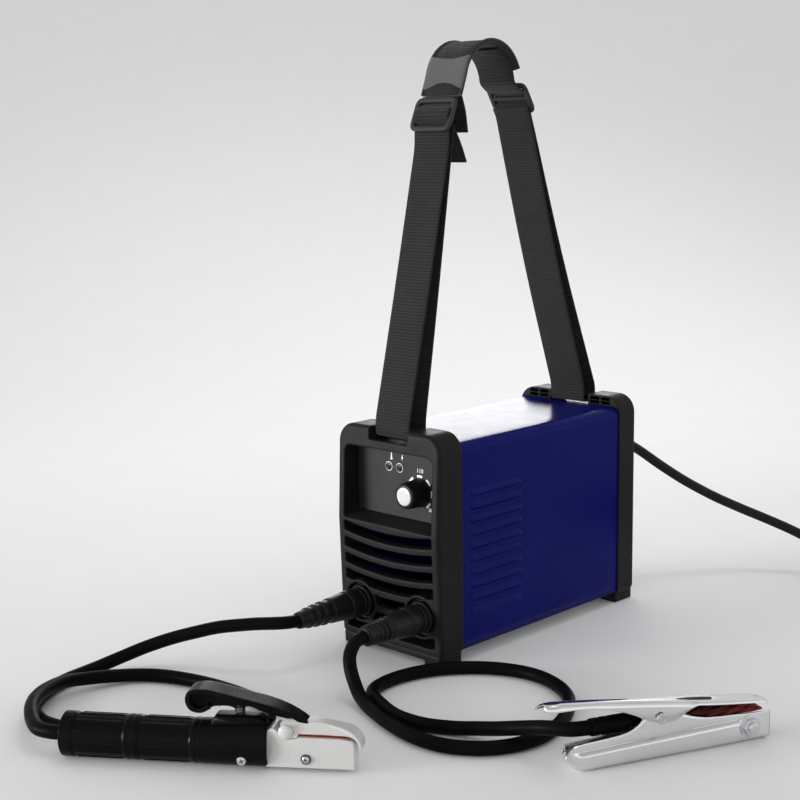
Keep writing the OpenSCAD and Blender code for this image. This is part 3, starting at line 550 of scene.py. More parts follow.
def coil_points():
    """Four turns low, two on top, then the end that leads straight to the plug."""
    legs = [(-90, 200, 57.5, 57.5, 4.95, 4.95), (200, 240, 57.5, 47.5, 4.95, 4.95),
            (240, 520, 47.5, 47.5, 4.95, 4.95), (520, 560, 47.5, 47.5, 4.95, 14.7),
            (560, 840, 47.5, 47.5, 14.7, 14.7), (840, 880, 47.5, 57.5, 14.7, 14.7),
            (880, 1140, 57.5, 57.5, 14.7, 14.7), (1140, 1200, 57.5, 52.5, 14.7, 22.8),
            (1200, 1440, 52.5, 52.5, 22.8, 22.8)]
    out = []
    for a0, a1, r0, r1, z0, z1 in legs:
        n = max(4, round((a1 - a0) / 5))
        for k in range(n):
            t = k / n
            s = t * t * (3 - 2 * t)
            a = math.radians(a0 + (a1 - a0) * t)
            r = r0 + (r1 - r0) * s
            out.append((COIL_CENTRE + Vector((r * math.cos(a), r * math.sin(a), z0 + (z1 - z0) * s))) * MM)
    for k in range(8):
        t = k / 7
        out.append(Vector((290.5, 388.5 + 31.5 * t, 22.8 - 3.8 * t * t * (3 - 2 * t))) * MM)
    return out


electrode_path = spline(electrode_route, LEAD_RADIUS)
work_path = spline(work_route, LEAD_RADIUS)
mains_path = spline(mains_route, CORD_RADIUS)[:-1] + coil_points()
electrode_lead = put(tube("electrode_lead_v", electrode_path, LEAD_RADIUS, "cable_rubber"), "case",
                     "electrode_lead")
work_lead = put(tube("work_lead_v", work_path, LEAD_RADIUS, "cable_rubber"), "case", "work_lead")
mains_lead = put(tube("mains_lead_v", mains_path, CORD_RADIUS, "cord_rubber"), "case",
                 "mains_cord", "mains_coil")

plug_profile = soften([(0, 0), (0, 5.5), (5, 6.2), (5, 7), (8, 7), (8, 6.4), (11, 6.6), (11, 7.4), (14, 7.4),
                       (14, 6.9), (17, 7.1), (17, 8), (21, 8.2), (24, 13), (28, 15.5), (44, 18), (52, 18),
                       (54, 16.5), (56, 16.5), (56, 0)], 0.8)
mains_plug = put(lathe("mains_plug_v", plug_profile, PLUG_FACE, (0, 1, 0), "cord_rubber"), "case", "mains_plug")
pins = [put(lathe(f"mains_plug_pin_{i}", soften([(55, 0), (55, 2.4), (73, 2.4), (75, 1.2), (75, 0)], 0.6),
                  Vector(PLUG_FACE) + Vector((x, 0, 0)), (0, 1, 0), "brass", sides=32), "case")
        for i, x in enumerate((-9.5, 9.5))]

tie_dir = Vector((math.cos(math.radians(30)), math.sin(math.radians(30)), 0))
cross_dir = Vector((-tie_dir.y, tie_dir.x, 0))
tie_line = []
for k in range(41):
    c, s = math.cos(TAU * k / 40), math.sin(TAU * k / 40)
    tie_line.append((52.5 + 11.4 * math.copysign(abs(c) ** 0.45, c),
                     10.7 + 9.9 * math.copysign(abs(s) ** 0.45, s)))
tie_rows = []
for (r, z), nxt in zip(tie_line, tie_line[1:] + tie_line[1:2]):
    out = Vector((nxt[1] - z, -(nxt[0] - r)))
    out = out.normalized() if out.length > 1e-6 else Vector((1, 0))
    row = []
    for w, h in ((-4, 0), (-3.6, .5), (3.6, .5), (4, 0), (3.6, -.5), (-3.6, -.5)):
        row.append((COIL_CENTRE + tie_dir * (r + out.x * h) + cross_dir * w
                    + Vector((0, 0, max(0.1, z + out.y * h)))) * MM)
    tie_rows.append(row)
mains_tie = put(grid("mains_tie", tie_rows, "webbing", wrap=True), "case")


# ---------- strap and shoulder pad ----------

def buckle_points(c, tilt, out):
    """The strap over a ladder buckle: behind its end bars and over the middle one."""
    a = math.radians(tilt)
    up_dir, face = Vector((-math.sin(a), math.cos(a))), Vector((math.cos(a), math.sin(a))) * out
    return [Vector(c) + up_dir * v + face * w
            for v, w in ((9, -2.6), (3.2, 2.9), (0, 3.3), (-3.2, 2.9), (-9, -2.6), (-13, -3.2))]


def strap_line(low, inner, tops, buckle, tilt, sag, under, end):
    side = 1 if inner > low else -1
    top1, top0 = tops
    over = buckle_points(buckle, tilt, -side)
    mid = ((low + top0[0]) / 2 + side * sag, (205 + top0[1]) / 2)
    tail_mid = ((inner + end[0][0]) / 2 + side * sag, (205 + end[0][1]) / 2)
    fall = (Vector(mid) - Vector(top0)).normalized()
    pts = (under + [top1] + over + [Vector(top0) + fall * 16, mid, (low, 207), (low, 193.4),
                                    (inner, 193.4), (inner, 207), tail_mid, *end])
    radii = [3] * len(under) + [2] * 6 + [14, 120, 8, 2.6, 2.6, 8, 120, 6]
    return resample(round_path(pts, radii), 1.5)


under_pad = [(ARCH_Y + 31.2 * math.cos(math.radians(a)), ARCH_Z + 31.2 * math.sin(math.radians(a)))
             for a in (75, 62, 50, 38, 26, 14, 3)]
front_line = strap_line(-131, -111, ((-66.5, 479), (-74.5, 452)), FRONT_BUCKLE, FRONT_TILT, 0.5, [],
                        ((-72.4, 450), (-71.2, 456)))
rear_line = strap_line(130, 113, ((16.2, 486), (31, 466)), REAR_BUCKLE, REAR_TILT, 3.5, under_pad,
                       ((30.4, 463), (26.2, 469.4)))
put(band("front_strap_v", front_line, "webbing"), "case", "front_strap")
put(band("rear_strap_v", rear_line, "webbing"), "case", "rear_strap")
tail_a = resample(round_path([(-61.5, 479.4), (-57, 468), (-54, 449)], 12), 1.5)
tail_b = resample(round_path([(-70.6, 452), (-62, 438), (-56, 424)], 12), 1.5)
put(merge("strap_tails_v", [band("tail_a", tail_a, "webbing"), band("tail_b", tail_b, "webbing")]),
    "case", "strap_tails")

arch = [(ARCH_Y + 35.5 * math.cos(math.radians(170 - 13.5 * i)),
         ARCH_Z + 35.5 * math.sin(math.radians(170 - 13.5 * i))) for i in range(12)]
pad_line = resample(round_path([(-64, 480)] + arch, 6), 1.5)
pad_section = []
for side in (1, -1):
    for a in range(-90, 91, 30):
        ang = math.radians(a if side > 0 else 180 + a)
        pad_section.append((side * 21.3 + 2.0 * math.cos(ang), 1.5 + 2.0 * math.sin(ang)))
    if side > 0:
        pad_section += [(18.8, 1.0), (12, 1.2), (4, 1.3), (-4, 1.3), (-12, 1.2), (-18.8, 1.0)]
    else:
        pad_section += [(-20.8, -1.8), (-19, -2.7), (-10, -3), (0, -3), (10, -3), (19, -2.7), (20.8, -1.8)]
pad = put(band("shoulder_pad_v", pad_line, "pad_fabric", pad_section), "case", "shoulder_pad")
web_section = [(19.0, 1.2), (17.8, 1.9), (9, 2.15), (0, 2.2), (-9, 2.15), (-17.8, 1.9), (-19.0, 1.2),
               (-10, 0.8), (10, 0.8)]
put(band("pad_webbing", pad_line, "webbing", web_section), "case")
cap_line = pad_line[3:24]
cap_rows = []
for i, p in enumerate(cap_line):
    t = (cap_line[min(i + 1, len(cap_line) - 1)] - cap_line[max(i - 1, 0)]).normalized()
    n = Vector((-t.y, t.x))
    f = i / (len(cap_line) - 1)
    row = []
    for x, w in ((22.8, 1.2), (23.2, 2.2), (22.3, 3.4), (20.5, 3.9), (17, 3.8), (13, 3.7), (8.5, 3.65), (4, 3.6),
                 (0, 3.6), (-4, 3.6), (-8.5, 3.65), (-13, 3.7), (-17, 3.8), (-20.5, 3.9), (-22.3, 3.4), (-23.2, 2.2),
                 (-22.8, 1.2), (-15, 2.0), (-7, 2.0), (0, 2.0), (7, 2.0), (15, 2.0)):
        bow = (1 - (x / 22.5) ** 2) * (-4.0 if f > 0.5 else 6.5) * abs(f - 0.5) * 2
        q = p + t * bow + n * w
        row.append(Vector((x, q.x, q.y)) * MM)
    cap_rows.append(row)
put(grid("pad_end_cap_v", cap_rows, "cap_fabric", wrap=True, caps=True), "case", "pad_end_caps")


def buckle(name, c, tilt, side):
    """A moulded ladder frame with rounded bars."""
    a = math.radians(tilt)
    up_dir, face = Vector((0, -math.sin(a), math.cos(a))), Vector((0, math.cos(a), math.sin(a))) * side
    origin = Vector((0, c[0], c[1]))
    rings = []
    for k in range(64):
        cx, cz = math.cos(TAU * k / 64), math.sin(TAU * k / 64)
        x, v = 20.8 * math.copysign(abs(cx) ** 0.2, cx), 12.9 * math.copysign(abs(cz) ** 0.28, cz)
        nx = Vector((x / 20.8 ** 2 * abs(x / 20.8) ** 7, v / 12.9 ** 2 * abs(v / 12.9) ** 5)).normalized()
        row = []
        for w, h in ((2.1, 1.2), (2.5, 0.3), (2.3, -1.2), (1.6, -1.9), (-1.5, -1.9), (-2.2, -1.2), (-2.4, .2),
                     (-2.0, 1.2), (-1.2, 1.8), (1.2, 1.8)):
            row.append((origin + Vector((x + nx.x * w, 0, 0)) + up_dir * (v + nx.y * w) + face * h) * MM)
        rings.append(row)
    rings.append(rings[0])
    frame_part = grid("bf", rings, "buckle_plastic", wrap=True)
    bar = []
    for x in [-21 + 42 * i / 24 for i in range(25)]:
        bar.append([(origin + Vector((x, 0, 0)) + up_dir * v + face * w) * MM
                    for v, w in ((-1.5, -1.2), (-1.6, 0), (-1.1, 1.1), (0, 1.5), (1.1, 1.1), (1.6, 0),
                                 (1.5, -1.2), (0, -1.6))])
    return merge(name, [frame_part, grid("bb", bar, "buckle_plastic", wrap=True, caps=True)])


put(buckle("front_buckle_v", FRONT_BUCKLE, FRONT_TILT, -1), "case", "front_buckle")
put(buckle("rear_buckle_v", REAR_BUCKLE, REAR_TILT, 1), "case", "rear_buckle")


# ---------- end frames, cover and panel ----------

def outline_gap(x, z):
    """Distance in from an end frame's outline, and the way out, in the plane of X and Z."""
    r = 17 if z > 105 else 5
    u = Vector((abs(x) - (60 - r), (z - (201 - r)) if z > 105 else (9 + r - z)))
    if u.x > 0 and u.y > 0:
        away, gap = u.normalized(), r - u.length
    elif u.x > u.y:
        away, gap = Vector((1, 0)), r - u.x
    else:
        away, gap = Vector((0, 1)), r - u.y
    return gap, math.copysign(away.x, x), away.y * (1 if z > 105 else -1)


def round_rim(face, sign, r):
    """Rounds the outer edge of an end frame whose face is at face(z), seen along sign."""
    def shape(p):
        b = (p.y - face(p.z)) * sign
        gap, ox, oz = outline_gap(p.x, p.z)
        if b >= r or gap >= r or p.z < 9.4:
            return p
        v = Vector((r - gap, r - b))
        if v.length <= r:
            return p
        v *= 1 - r / v.length
        return Vector((p.x - ox * v.x, p.y + sign * v.y, p.z - oz * v.x))
    return shape


def front_face(z):
    return -141 + (4 * (116 - z) / 117 if z < 116 else 3.5 * (z - 116) / 86)


mould("front_bezel", "case", "black_plastic", 0.75, 5, round_rim(front_face, 1, 3.6))
mould("rear_bezel", "case", "black_plastic", 0.75, 4, round_rim(lambda z: 141, -1, 3.0))


def smoothstep(a, b, x):
    t = max(0.0, min(1.0, (x - a) / (b - a)))
    return t * t * (3 - 2 * t)


def louvre(y, z):
    """How far the cover's side stands out at y and z: hoods over slits, their ends rounded."""
    if not -101 < y < -27 or not 36 < z < 155:
        return 0.0
    out = 0.0
    for i in range(10):
        v = z - (145 - i * 11.6)
        if -2.2 < v < 6.5:
            end = min(y + 98.5, -29.5 - y)
            ends = smoothstep(-0.5, 3.0, end - 0.06 * max(0, v) ** 2)
            if v > 0:
                out += ends * 1.35 * (1 - smoothstep(0.2, 6.0, v))
            else:
                slit = 0.9 * smoothstep(-2.0, -1.3, v) * (1 - smoothstep(-0.9, -0.4, v))
                out += ends * (1.35 * smoothstep(-0.6, 0.0, v) - slit)
    return out


outline = [(58.5, 11.2, 1, 0)]
z = 20.0
while z < 182:
    step = 0.45 if 38 < z < 153 else 3.0
    outline.append((58.5, z, 1, 0))
    z += step
for k in range(9):
    a = math.radians(11.25 * k)
    outline.append((49.5 + 9 * math.cos(a), 182 + 9 * math.sin(a), math.cos(a), math.sin(a)))
for k in range(1, 6):
    outline.append((49.5 - 9.0 * k, 191, 0, 1))
outline = outline + [(-x, zz, -nx, nz) for x, zz, nx, nz in reversed(outline)]
ys = [-117.0, -108, -102]
y = -101.0
while y < -26.5:
    ys.append(y)
    y += 0.7 if y < -95 or y > -33 else 4.0
ys += [-20.0 + 5.5 * k for k in range(27)]
cover_rows = []
for y in ys:
    row = []
    for x, zz, nx, nz in outline:
        dent = 0.05 * (1 + math.sin(y / 37) * math.sin(zz / 41))
        sag = -0.04 * (1 + math.sin(y / 53) * math.cos(x / 31))
        d = louvre(y, zz) - dent if abs(nx) > 0.99 else sag
        row.append(Vector((x + nx * d, y, zz + nz * d)) * MM)
    cover_rows.append(row)
cover = grid("cover_v", cover_rows, "blue_paint", sharp=55)
solid = cover.modifiers.new("sheet", "SOLIDIFY")
solid.thickness, solid.offset = 1.1 * MM, -1
put(cover, "case", "cover")

refine("control_panel", "case", "panel_plastic", 0.3)


def mark(name, outline_points, x, z, scale=1.0):
    """A flat printed mark on the panel from a plane outline in mm."""
    verts = [Vector((x + px * scale, PANEL_FACE, z + pz * scale)) * MM for px, pz in outline_points]
    obj = add_mesh(name, verts, [list(range(len(verts)))], "mark_white",
                   [(px * scale * MM, pz * scale * MM) for px, pz in outline_points])
    return put(obj, "case")


def number(name, text, x, z, size):
    curve = bpy.data.curves.new(name, "FONT")
    curve.body, curve.size, curve.align_x, curve.align_y = text, size * MM, "CENTER", "CENTER"
    curve.extrude = 0.00002
    obj = bpy.data.objects.new(name, curve)
    scene.collection.objects.link(obj)
    obj.matrix_world = Matrix.Translation(Vector((x, PANEL_FACE, z)) * MM) @ Matrix.Rotation(math.pi / 2, 4, "X")
    curve.materials.append(M["mark_white"])
    return put(obj, "case")


kx, kz = 21.5, 146.0
number("scale_110", "110", kx + 0.4, 164.8, 5.2)
number("scale_20", "20", kx - 13.6, 132.2, 4.0)
number("scale_200", "200", kx + 13.4, 132.2, 4.0)
dashes = []
for k, mid in enumerate((-45, 0, 45, 90, 135, 180, 225)):
    arc_pts = [(13.1, mid + a) for a in range(-12, 13, 4)] + [(15.2, mid + a) for a in range(12, -13, -4)]
    dashes.append(mark(f"dash_{k}", [(r * math.cos(math.radians(a)), r * math.sin(math.radians(a)))
                                     for r, a in arc_pts], kx, kz))
for o in dashes:
    o.parent = None
put(merge("scale_dashes", dashes), "case")
for i, x in enumerate((-14.8, -2.2)):
    ring = [[(Vector((x + r * math.cos(TAU * j / 40), -121.0 - h, 164.3 + r * math.sin(TAU * j / 40))) * MM)
             for j in range(40)] for r, h in ((4.1, .02), (4.1, .14), (3.55, .14), (3.55, .02))]
    put(grid(f"led_ring_{i}", ring, "mark_white", wrap=True), "case")
bulb = [(1.5 * math.cos(math.radians(a)), -2.2 + 1.5 * math.sin(math.radians(a))) for a in range(-240, 61, 20)]
mark("mark_heat", bulb + [(0.75, 3.2), (0.5, 3.8), (0, 4), (-0.5, 3.8), (-0.75, 3.2)], -11.6, 173.4, 0.85)
mark("mark_power", [(0.6, 3.4), (-1.5, -0.4), (-0.2, -0.4), (-0.9, -3.4), (1.5, 0.7), (0.2, 0.7), (1.3, 3.4)],
     1.2, 173.4, 0.85)

refine("indicator_leds", "case", "led_lens", 0.5)


def fluted(name, profile, slot, n=22, depth=0.45, sides=176):
    """A knob turned from (distance, radius, how deep its n flutes are) around the knob's axis."""
    rows = []
    for a, r, cut in profile:
        row = []
        for j in range(sides):
            ang = TAU * j / sides
            rr = r - cut * depth * (0.5 + 0.5 * math.cos(n * ang)) ** 2
            row.append(Vector((kx + rr * math.cos(ang), a, kz + rr * math.sin(ang))) * MM)
        rows.append(row)
    return grid(name, rows, slot, wrap=True, caps=True, sharp=38)


knob_profile = [(-121.5, 5, 0), (-121.5, 12.1, 0), (-121.9, 12.4, 0), (-123.9, 12.4, 0), (-124.6, 12.2, 0),
                (-125.2, 12.1, .2), (-126.2, 12.0, 1), (-138.2, 11.3, 1), (-139.6, 10.9, .7), (-140.6, 10.3, .2),
                (-141, 9.4, 0), (-141, 8.5, 0), (-140.2, 8.3, 0), (-139.4, 8.2, 0)]
put(fluted("current_knob_v", knob_profile, "knob_plastic"), "knob", "current_knob")
put(lathe("knob_cap_v", [(0, 0), (0, 8.1), (1.2, 8.1), (1.9, 7.9), (2.2, 7.3), (2.35, 5), (2.4, 0)],
          (kx, -139.2, kz), (0, -1, 0), "white_plastic", sides=64), "knob", "knob_cap")

# ---------- sockets and plugs ----------

socket_rings = soften([(0, 7.2), (0, 14), (24, 14), (24, 17), (28, 17), (28.8, 16.4), (28.8, 14.9), (27.6, 14.5),
                       (27.6, 13.4), (28.6, 13), (28.6, 11.6), (27.2, 11.2), (27.2, 7.4), (1, 7.2)], 0.4)
for side, node in ((-1, "left_socket"), (1, "right_socket")):
    put(lathe(node + "_v", socket_rings, (side * 36, -105.2, 42), (0, -1, 0), "socket_plastic"), "case", node)


def plug_profile_for(tail, tail_r, fins):
    """From the collar at the socket to the tail, in mm along -Y from the collar."""
    p = [(0, 4.6), (0, 13.6), (.6, 14), (4.4, 14), (5, 13.4), (5.2, 12.7), (7.5, 13), (9, 13), (9.6, 12.3), (11, 12.3),
         (11.6, 13), (18, 13), (22.4, 12.6), (23.2, 11.7), (24.4, 11.6), (25.2, 12.2)]
    end = tail - 134.4
    if fins:
        p += [(36, 11.3), (43, 10.6), (44.5, 9.8)]
        for k in range(5):
            a = 47 + 5 * k
            if a + 3 < end:
                p += [(a, 8.6 - .1 * k), (a + .4, 10.7 - .45 * k), (a + 2.4, 10.5 - .45 * k), (a + 2.9, 8.5 - .1 * k)]
    else:
        p += [(36, 11.3), (42.5, 11), (43.2, 10), (49, 9.8), (49.6, 10.6), (52.6, 10.4), (53.2, 9.3), (57.5, 9.1),
              (58.1, 9.9), (61, 9.7), (61.6, 8.6), (66, 8.4), (66.6, 9), (69.2, 8.8), (69.8, 7.9)]
    p += [(end - 3, tail_r), (end - .8, tail_r - .4), (end, 5.9), (end - 1.5, 5.55)]
    return soften(p, 0.45)


put(lathe("electrode_plug_v", plug_profile_for(214, 7.4, False), (-36, -134.4, 42), (0, -1, 0),
          "socket_plastic"), "case", "electrode_plug")
put(lathe("work_plug_v", plug_profile_for(206, 7.8, True), (36, -134.4, 42), (0, -1, 0),
          "socket_plastic"), "case", "work_plug")

# ---------- rear ----------

gland = soften([(0, 5.5), (0, 8), (10, 8), (10, 12), (14, 12), (14, 10), (22, 8.6), (23, 7.6), (25.5, 7.5),
                (25.5, 8.1), (28.5, 7.9), (28.5, 7.1), (31.5, 7), (31.5, 7.5), (34.5, 7.3), (34.5, 6.5), (38, 6.3),
                (38, 6.7), (40.3, 6.5), (41, 5.6), (40, 4.85)], 0.4)
put(lathe("mains_gland_v", gland, (22, 125, 146), (0, 1, 0), "cord_rubber"), "case", "mains_gland")
mould("power_switch_housing", "case", "socket_plastic", 0.4, 3)
mould("power_switch_rocker", "rocker", "red_plastic", 0.35, 3)
refine("rear_screws", "case", "zinc_steel", 0.3)
refine("fan_rotor", "fan", "black_plastic", 0.3)
refine("fan_frame", "case", "black_plastic", 0.3)

# ---------- electrode holder ----------

turn = math.radians(34.5)


def holder(x, y, z):
    """A point of the holder, whose x runs from the lead to the jaws, in the shared frame."""
    return Vector((-29 + x * math.cos(turn) - y * math.sin(turn),
                   -453 + x * math.sin(turn) + y * math.cos(turn), z)) * MM


def handle_radius(x, a):
    """Moulded grip: collars, and a rib every 30 degrees between them."""
    base = 15.6
    rib = 0.0
    for x0, x1 in ((10.5, 49.5), (60.5, 99.5)):
        if x0 < x < x1:
            ends = smoothstep(x0, x0 + 3, x) * (1 - smoothstep(x1 - 3, x1, x))
            near = abs((math.degrees(a) + 15) % 30 - 15)
            rib = 0.95 * ends * (1 - smoothstep(1.3, 3.6, near))
    collar = 0.0
    for x0, x1 in ((0.6, 10.2), (49.8, 60.2), (99.8, 200)):
        collar = max(collar, 0.9 * smoothstep(x0 - 0.6, x0 + 0.4, x) * (1 - smoothstep(x1 - 0.4, x1 + 0.6, x)))
    groove = 0.35 * (1 - smoothstep(0.3, 1.1, abs(x - 104.5))) + 0.35 * (1 - smoothstep(0.3, 1.1, abs(x - 55)))
    lip = 0.8 * smoothstep(0, 1, (1.2 - x) / 1.2) if x < 1.2 else 0.0
    lip += 0.7 * smoothstep(155.6, 157, x)
    flare = 2.8 * smoothstep(104.5, 150, x) * max(0.0, math.sin(a)) ** 1.6
    return min(16.5, base + max(rib, collar)) + flare - groove - lip


xs = [0, .5, 1, 1.5, 2.5]
x = 3.5
while x < 156:
    xs.append(x)
    x += 0.9 if min(abs(x - 10), abs(x - 50), abs(x - 60), abs(x - 100), abs(x - 104.5), abs(x - 55)) < 2.2 else 2.5
xs += [156.2, 156.6, 157]
xs = sorted(set(xs))
handle_rows = [[holder(0.02, r * math.cos(TAU * j / 144), 16.5 + r * math.sin(TAU * j / 144)) for j in range(144)]
               for r in (5.8, 11)]
for x in xs:
    row = []
    for j in range(144):
        a = TAU * j / 144
        r = handle_radius(x, a)
        xx = x
        if x > 152:
            xx = x - 0.8 * (0.5 + 0.5 * math.cos(3 * a + 0.6)) * (x - 152) / 5
        row.append(holder(xx, r * math.cos(a), 16.5 + r * math.sin(a)))
    handle_rows.append(row)
handle_rows += [[holder(xx, r * math.cos(TAU * j / 144), 16.5 + r * math.sin(TAU * j / 144)) for j in range(144)]
                for xx, r in ((156, 14.2), (154, 12.6), (138, 11.6))]


def slot_here(i, j):
    """Whether a face of the handle is in the slot for the lever."""
    a = TAU * (j + .5) / 144
    return i > 2 and row_x[i] > 137.5 and abs(math.cos(a)) * 15 < 6 and math.sin(a) > 0


row_x = [0, 0] + xs + [156, 154, 138]
handle = grid("handle_shell", handle_rows, "holder_plastic", wrap=True, skip=slot_here, sharp=45)
boss_line = round_path([(111, 29), (117, 38.4), (148, 38.8), (155, 35), (155, 29)], 1.6, 4)
boss_rows = []
for k in range(11):
    v = -7 + 14 * k / 10
    inset = 1.2 * (abs(v) / 7) ** 6
    boss_rows.append([holder(p.x + (inset if p.x < 125 else -inset), v, p.y - (inset if p.y > 30 else 0))
                      for p in boss_line])
handle = merge("holder_handle_v", [handle, grid("boss", boss_rows, "holder_plastic", caps=True, sharp=50)])
put(handle, "case", "holder_handle")


def jaw_point(x, y, z):
    """The jaws narrow towards their tip, and the beak towards its top."""
    return holder(x, y * (1 - 0.2 * smoothstep(180, 224, x)) * (1 - 0.6 * smoothstep(30, 38, z)), z)


def lever_point(x, y, z):
    return holder(x, y * (1 - 0.45 * smoothstep(158, 186, x)), z)


low_jaw = round_path([(190, 2.8), (219.2, 2.8), (219.2, 14), (218.8, 24), (211, 25.6), (179.5, 26.2), (177, 25.2),
                      (171, 24.8), (166.8, 25.6), (163.2, 30.4), (160.4, 32.2), (157, 31), (154.4, 29),
                      (154.4, 2.8), (189.9, 2.8)],
                     [1, 3, 3, 5, 4, 1.5, 2, 2, 1.5, 1.5, 1.5, 1.5, 1.5, 2.5, 1], 5)
put(merge("holder_lower_jaw_v", [
    soft_prism("low_jaw_block", low_jaw, [], 21.6, jaw_point, "white_plastic", 0.55, 8),
    lathe("low_jaw_neck", [(0, 0), (0, 10.8), (17, 10.8), (17, 0)], holder(138, 0, 16.5) / MM,
          Vector((math.cos(turn), math.sin(turn), 0)), "white_plastic", sides=48)]), "case", "holder_lower_jaw")
beak = closed_curve([
    (164.8, 33.6), (166.4, 35.8), (170, 37.2), (177, 37.2), (187, 36.6), (198, 35.4), (208.6, 33.4), (215.6, 31),
    (220.6, 27.4), (223.4, 23), (224.2, 17.6), (223.4, 17.4), (221.8, 21.4), (219.6, 24.8), (215.6, 27), (208, 27.8),
    (196, 28.1), (184, 28.3), (178.4, 28.6), (175.6, 30.4), (171, 32.2), (166.4, 32.2)])
put(soft_prism("holder_upper_jaw_v", beak, [], 19, jaw_point, "white_plastic", 0.5, 6),
    "holder_lever_arm", "holder_upper_jaw")
for name, z0, z1, body in (("holder_lower_contact", 24.5, 26.8, "case"),
                           ("holder_upper_contact", 27.3, 29.4, "holder_lever_arm")):
    bar = [Vector(q) for q in ((178, z0), (215, z0 - 0.6), (215, z1 - 0.6), (178, z1))]
    put(soft_prism(name + "_v", bar, [], 16.5, jaw_point, "copper", 0.3, 2), body, name)
lever_outline = closed_curve([
    (96, 52), (96.4, 46.6), (99.5, 42.2), (104.5, 40.6), (109.5, 41.2), (113.5, 43.4), (118, 44.2), (127, 44.4),
    (129.4, 43.8), (130, 43.2), (138, 43.2), (139, 44.4), (141.5, 44.8), (149, 42.6), (156, 39.8), (164, 37.6),
    (172, 36.4), (180, 35.4), (184.6, 34.4), (186, 35), (182.6, 38.2), (176, 41.8), (167, 45.4), (156, 48.8),
    (140, 52.4), (125, 55.6), (111, 58.2), (102, 57.8), (97.4, 55.6)])
hollow = closed_curve([(99.4, 51), (100.6, 46.4), (105, 44), (109.4, 44.8), (112.4, 47.4), (114.6, 46), (114.8, 38),
                       (150, 34), (182, 30), (176, 37.2), (167, 41.8), (156, 45.2), (140, 48.8), (125, 52),
                       (111, 54.9), (103.4, 54.8), (100.2, 53.2)])
lever = soft_prism("holder_lever_v", lever_outline, [(hollow, -11, -4.2), (hollow, 4.2, 11)], 20, lever_point,
                   "holder_plastic", 0.6, 9)
put(lever, "holder_lever_arm", "holder_lever")


near_side = -Vector((-math.sin(turn), math.cos(turn), 0))


def pan_head(name, x, y, z, r):
    """A pan head screw facing the holder's -y side, its cross recess drawn as flat dark sheets of painted shade."""
    head = lathe(name, [(0, 0), (0, r), (.5, r), (1.1, r * .86), (1.45, r * .55), (1.5, 0)],
                 holder(x, y, z) / MM, near_side, "zinc_steel", sides=36)
    put(head, "case")
    # painted shade: the cross recess is two flat dark sheets laid just over the head
    bars = []
    for k in range(2):
        a = math.radians(25 + 90 * k)
        u, v = Vector((math.cos(a), math.sin(a))) * r * .62, Vector((-math.sin(a), math.cos(a))) * r * .13
        quad = [u + v, u - v, -u - v, -u + v]
        bars.append(add_mesh(f"{name}_bar{k}", [holder(x + q.x, y - 1.56, z + q.y) for q in quad], [[0, 1, 2, 3]],
                             "ferrite", [(0, 0), (1, 0), (1, 1), (0, 1)]))
    put(merge(name + "_cross_shade", bars), "case")
    ring = lathe(name + "_seat", soften([(-.6, r * 1.02), (.35, r * 1.05), (.45, r * 1.3), (-.6, r * 1.35)], .15),
                 holder(x, y, z) / MM, near_side, "ferrite", sides=36)
    put(ring, "case")


pan_head("handle_screw", 138, -14.9, 8.5, 2.9)
pan_head("jaw_screw", 184, -10.7, 10, 2.8)
knuckle = lathe("jaw_knuckle", [(0, 0), (0, 5.4), (.6, 5.6), (1.8, 5.3), (2.9, 4.1), (3.5, 2.2), (3.7, 0)],
                holder(169.6, -9.6, 29.6) / MM, near_side, "white_plastic", sides=40)
put(knuckle, "holder_lever_arm")
coil = []
for k in range(161):
    a = TAU * 4.5 * k / 160
    coil.append(holder(134 + 3.4 * math.cos(a), 3.4 * math.sin(a), 39.1 + 7.0 * k / 160))
spring = tube("holder_spring_v", coil, 0.55 * MM, "zinc_steel", sides=10)
spring.data.materials[0] = M["ferrite"]  # painted shade: the steel spring takes the dark colour of the transformer core because it lies in shade between the lever and the handle; its slot stays zinc_steel
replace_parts(spring, "holder_spring")
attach(spring, "case")

# ---------- work clamp ----------

turn_c = math.radians(65.8)


def clamp(x, y, z):
    """A point of the clamp, whose x runs from its handles to its mouth, in the shared frame."""
    return Vector((264 + x * math.cos(turn_c) - y * math.sin(turn_c),
                   -224 + x * math.sin(turn_c) + y * math.cos(turn_c), z)) * MM


def along(table, x):
    """The value at x of a table of (x, value) rows, straight between them."""
    for (x0, v0), (x1, v1) in zip(table, table[1:]):
        if x <= x1:
            t = max(0.0, min(1.0, (x - x0) / (x1 - x0)))
            return v0 + (v1 - v0) * t
    return table[-1][1]


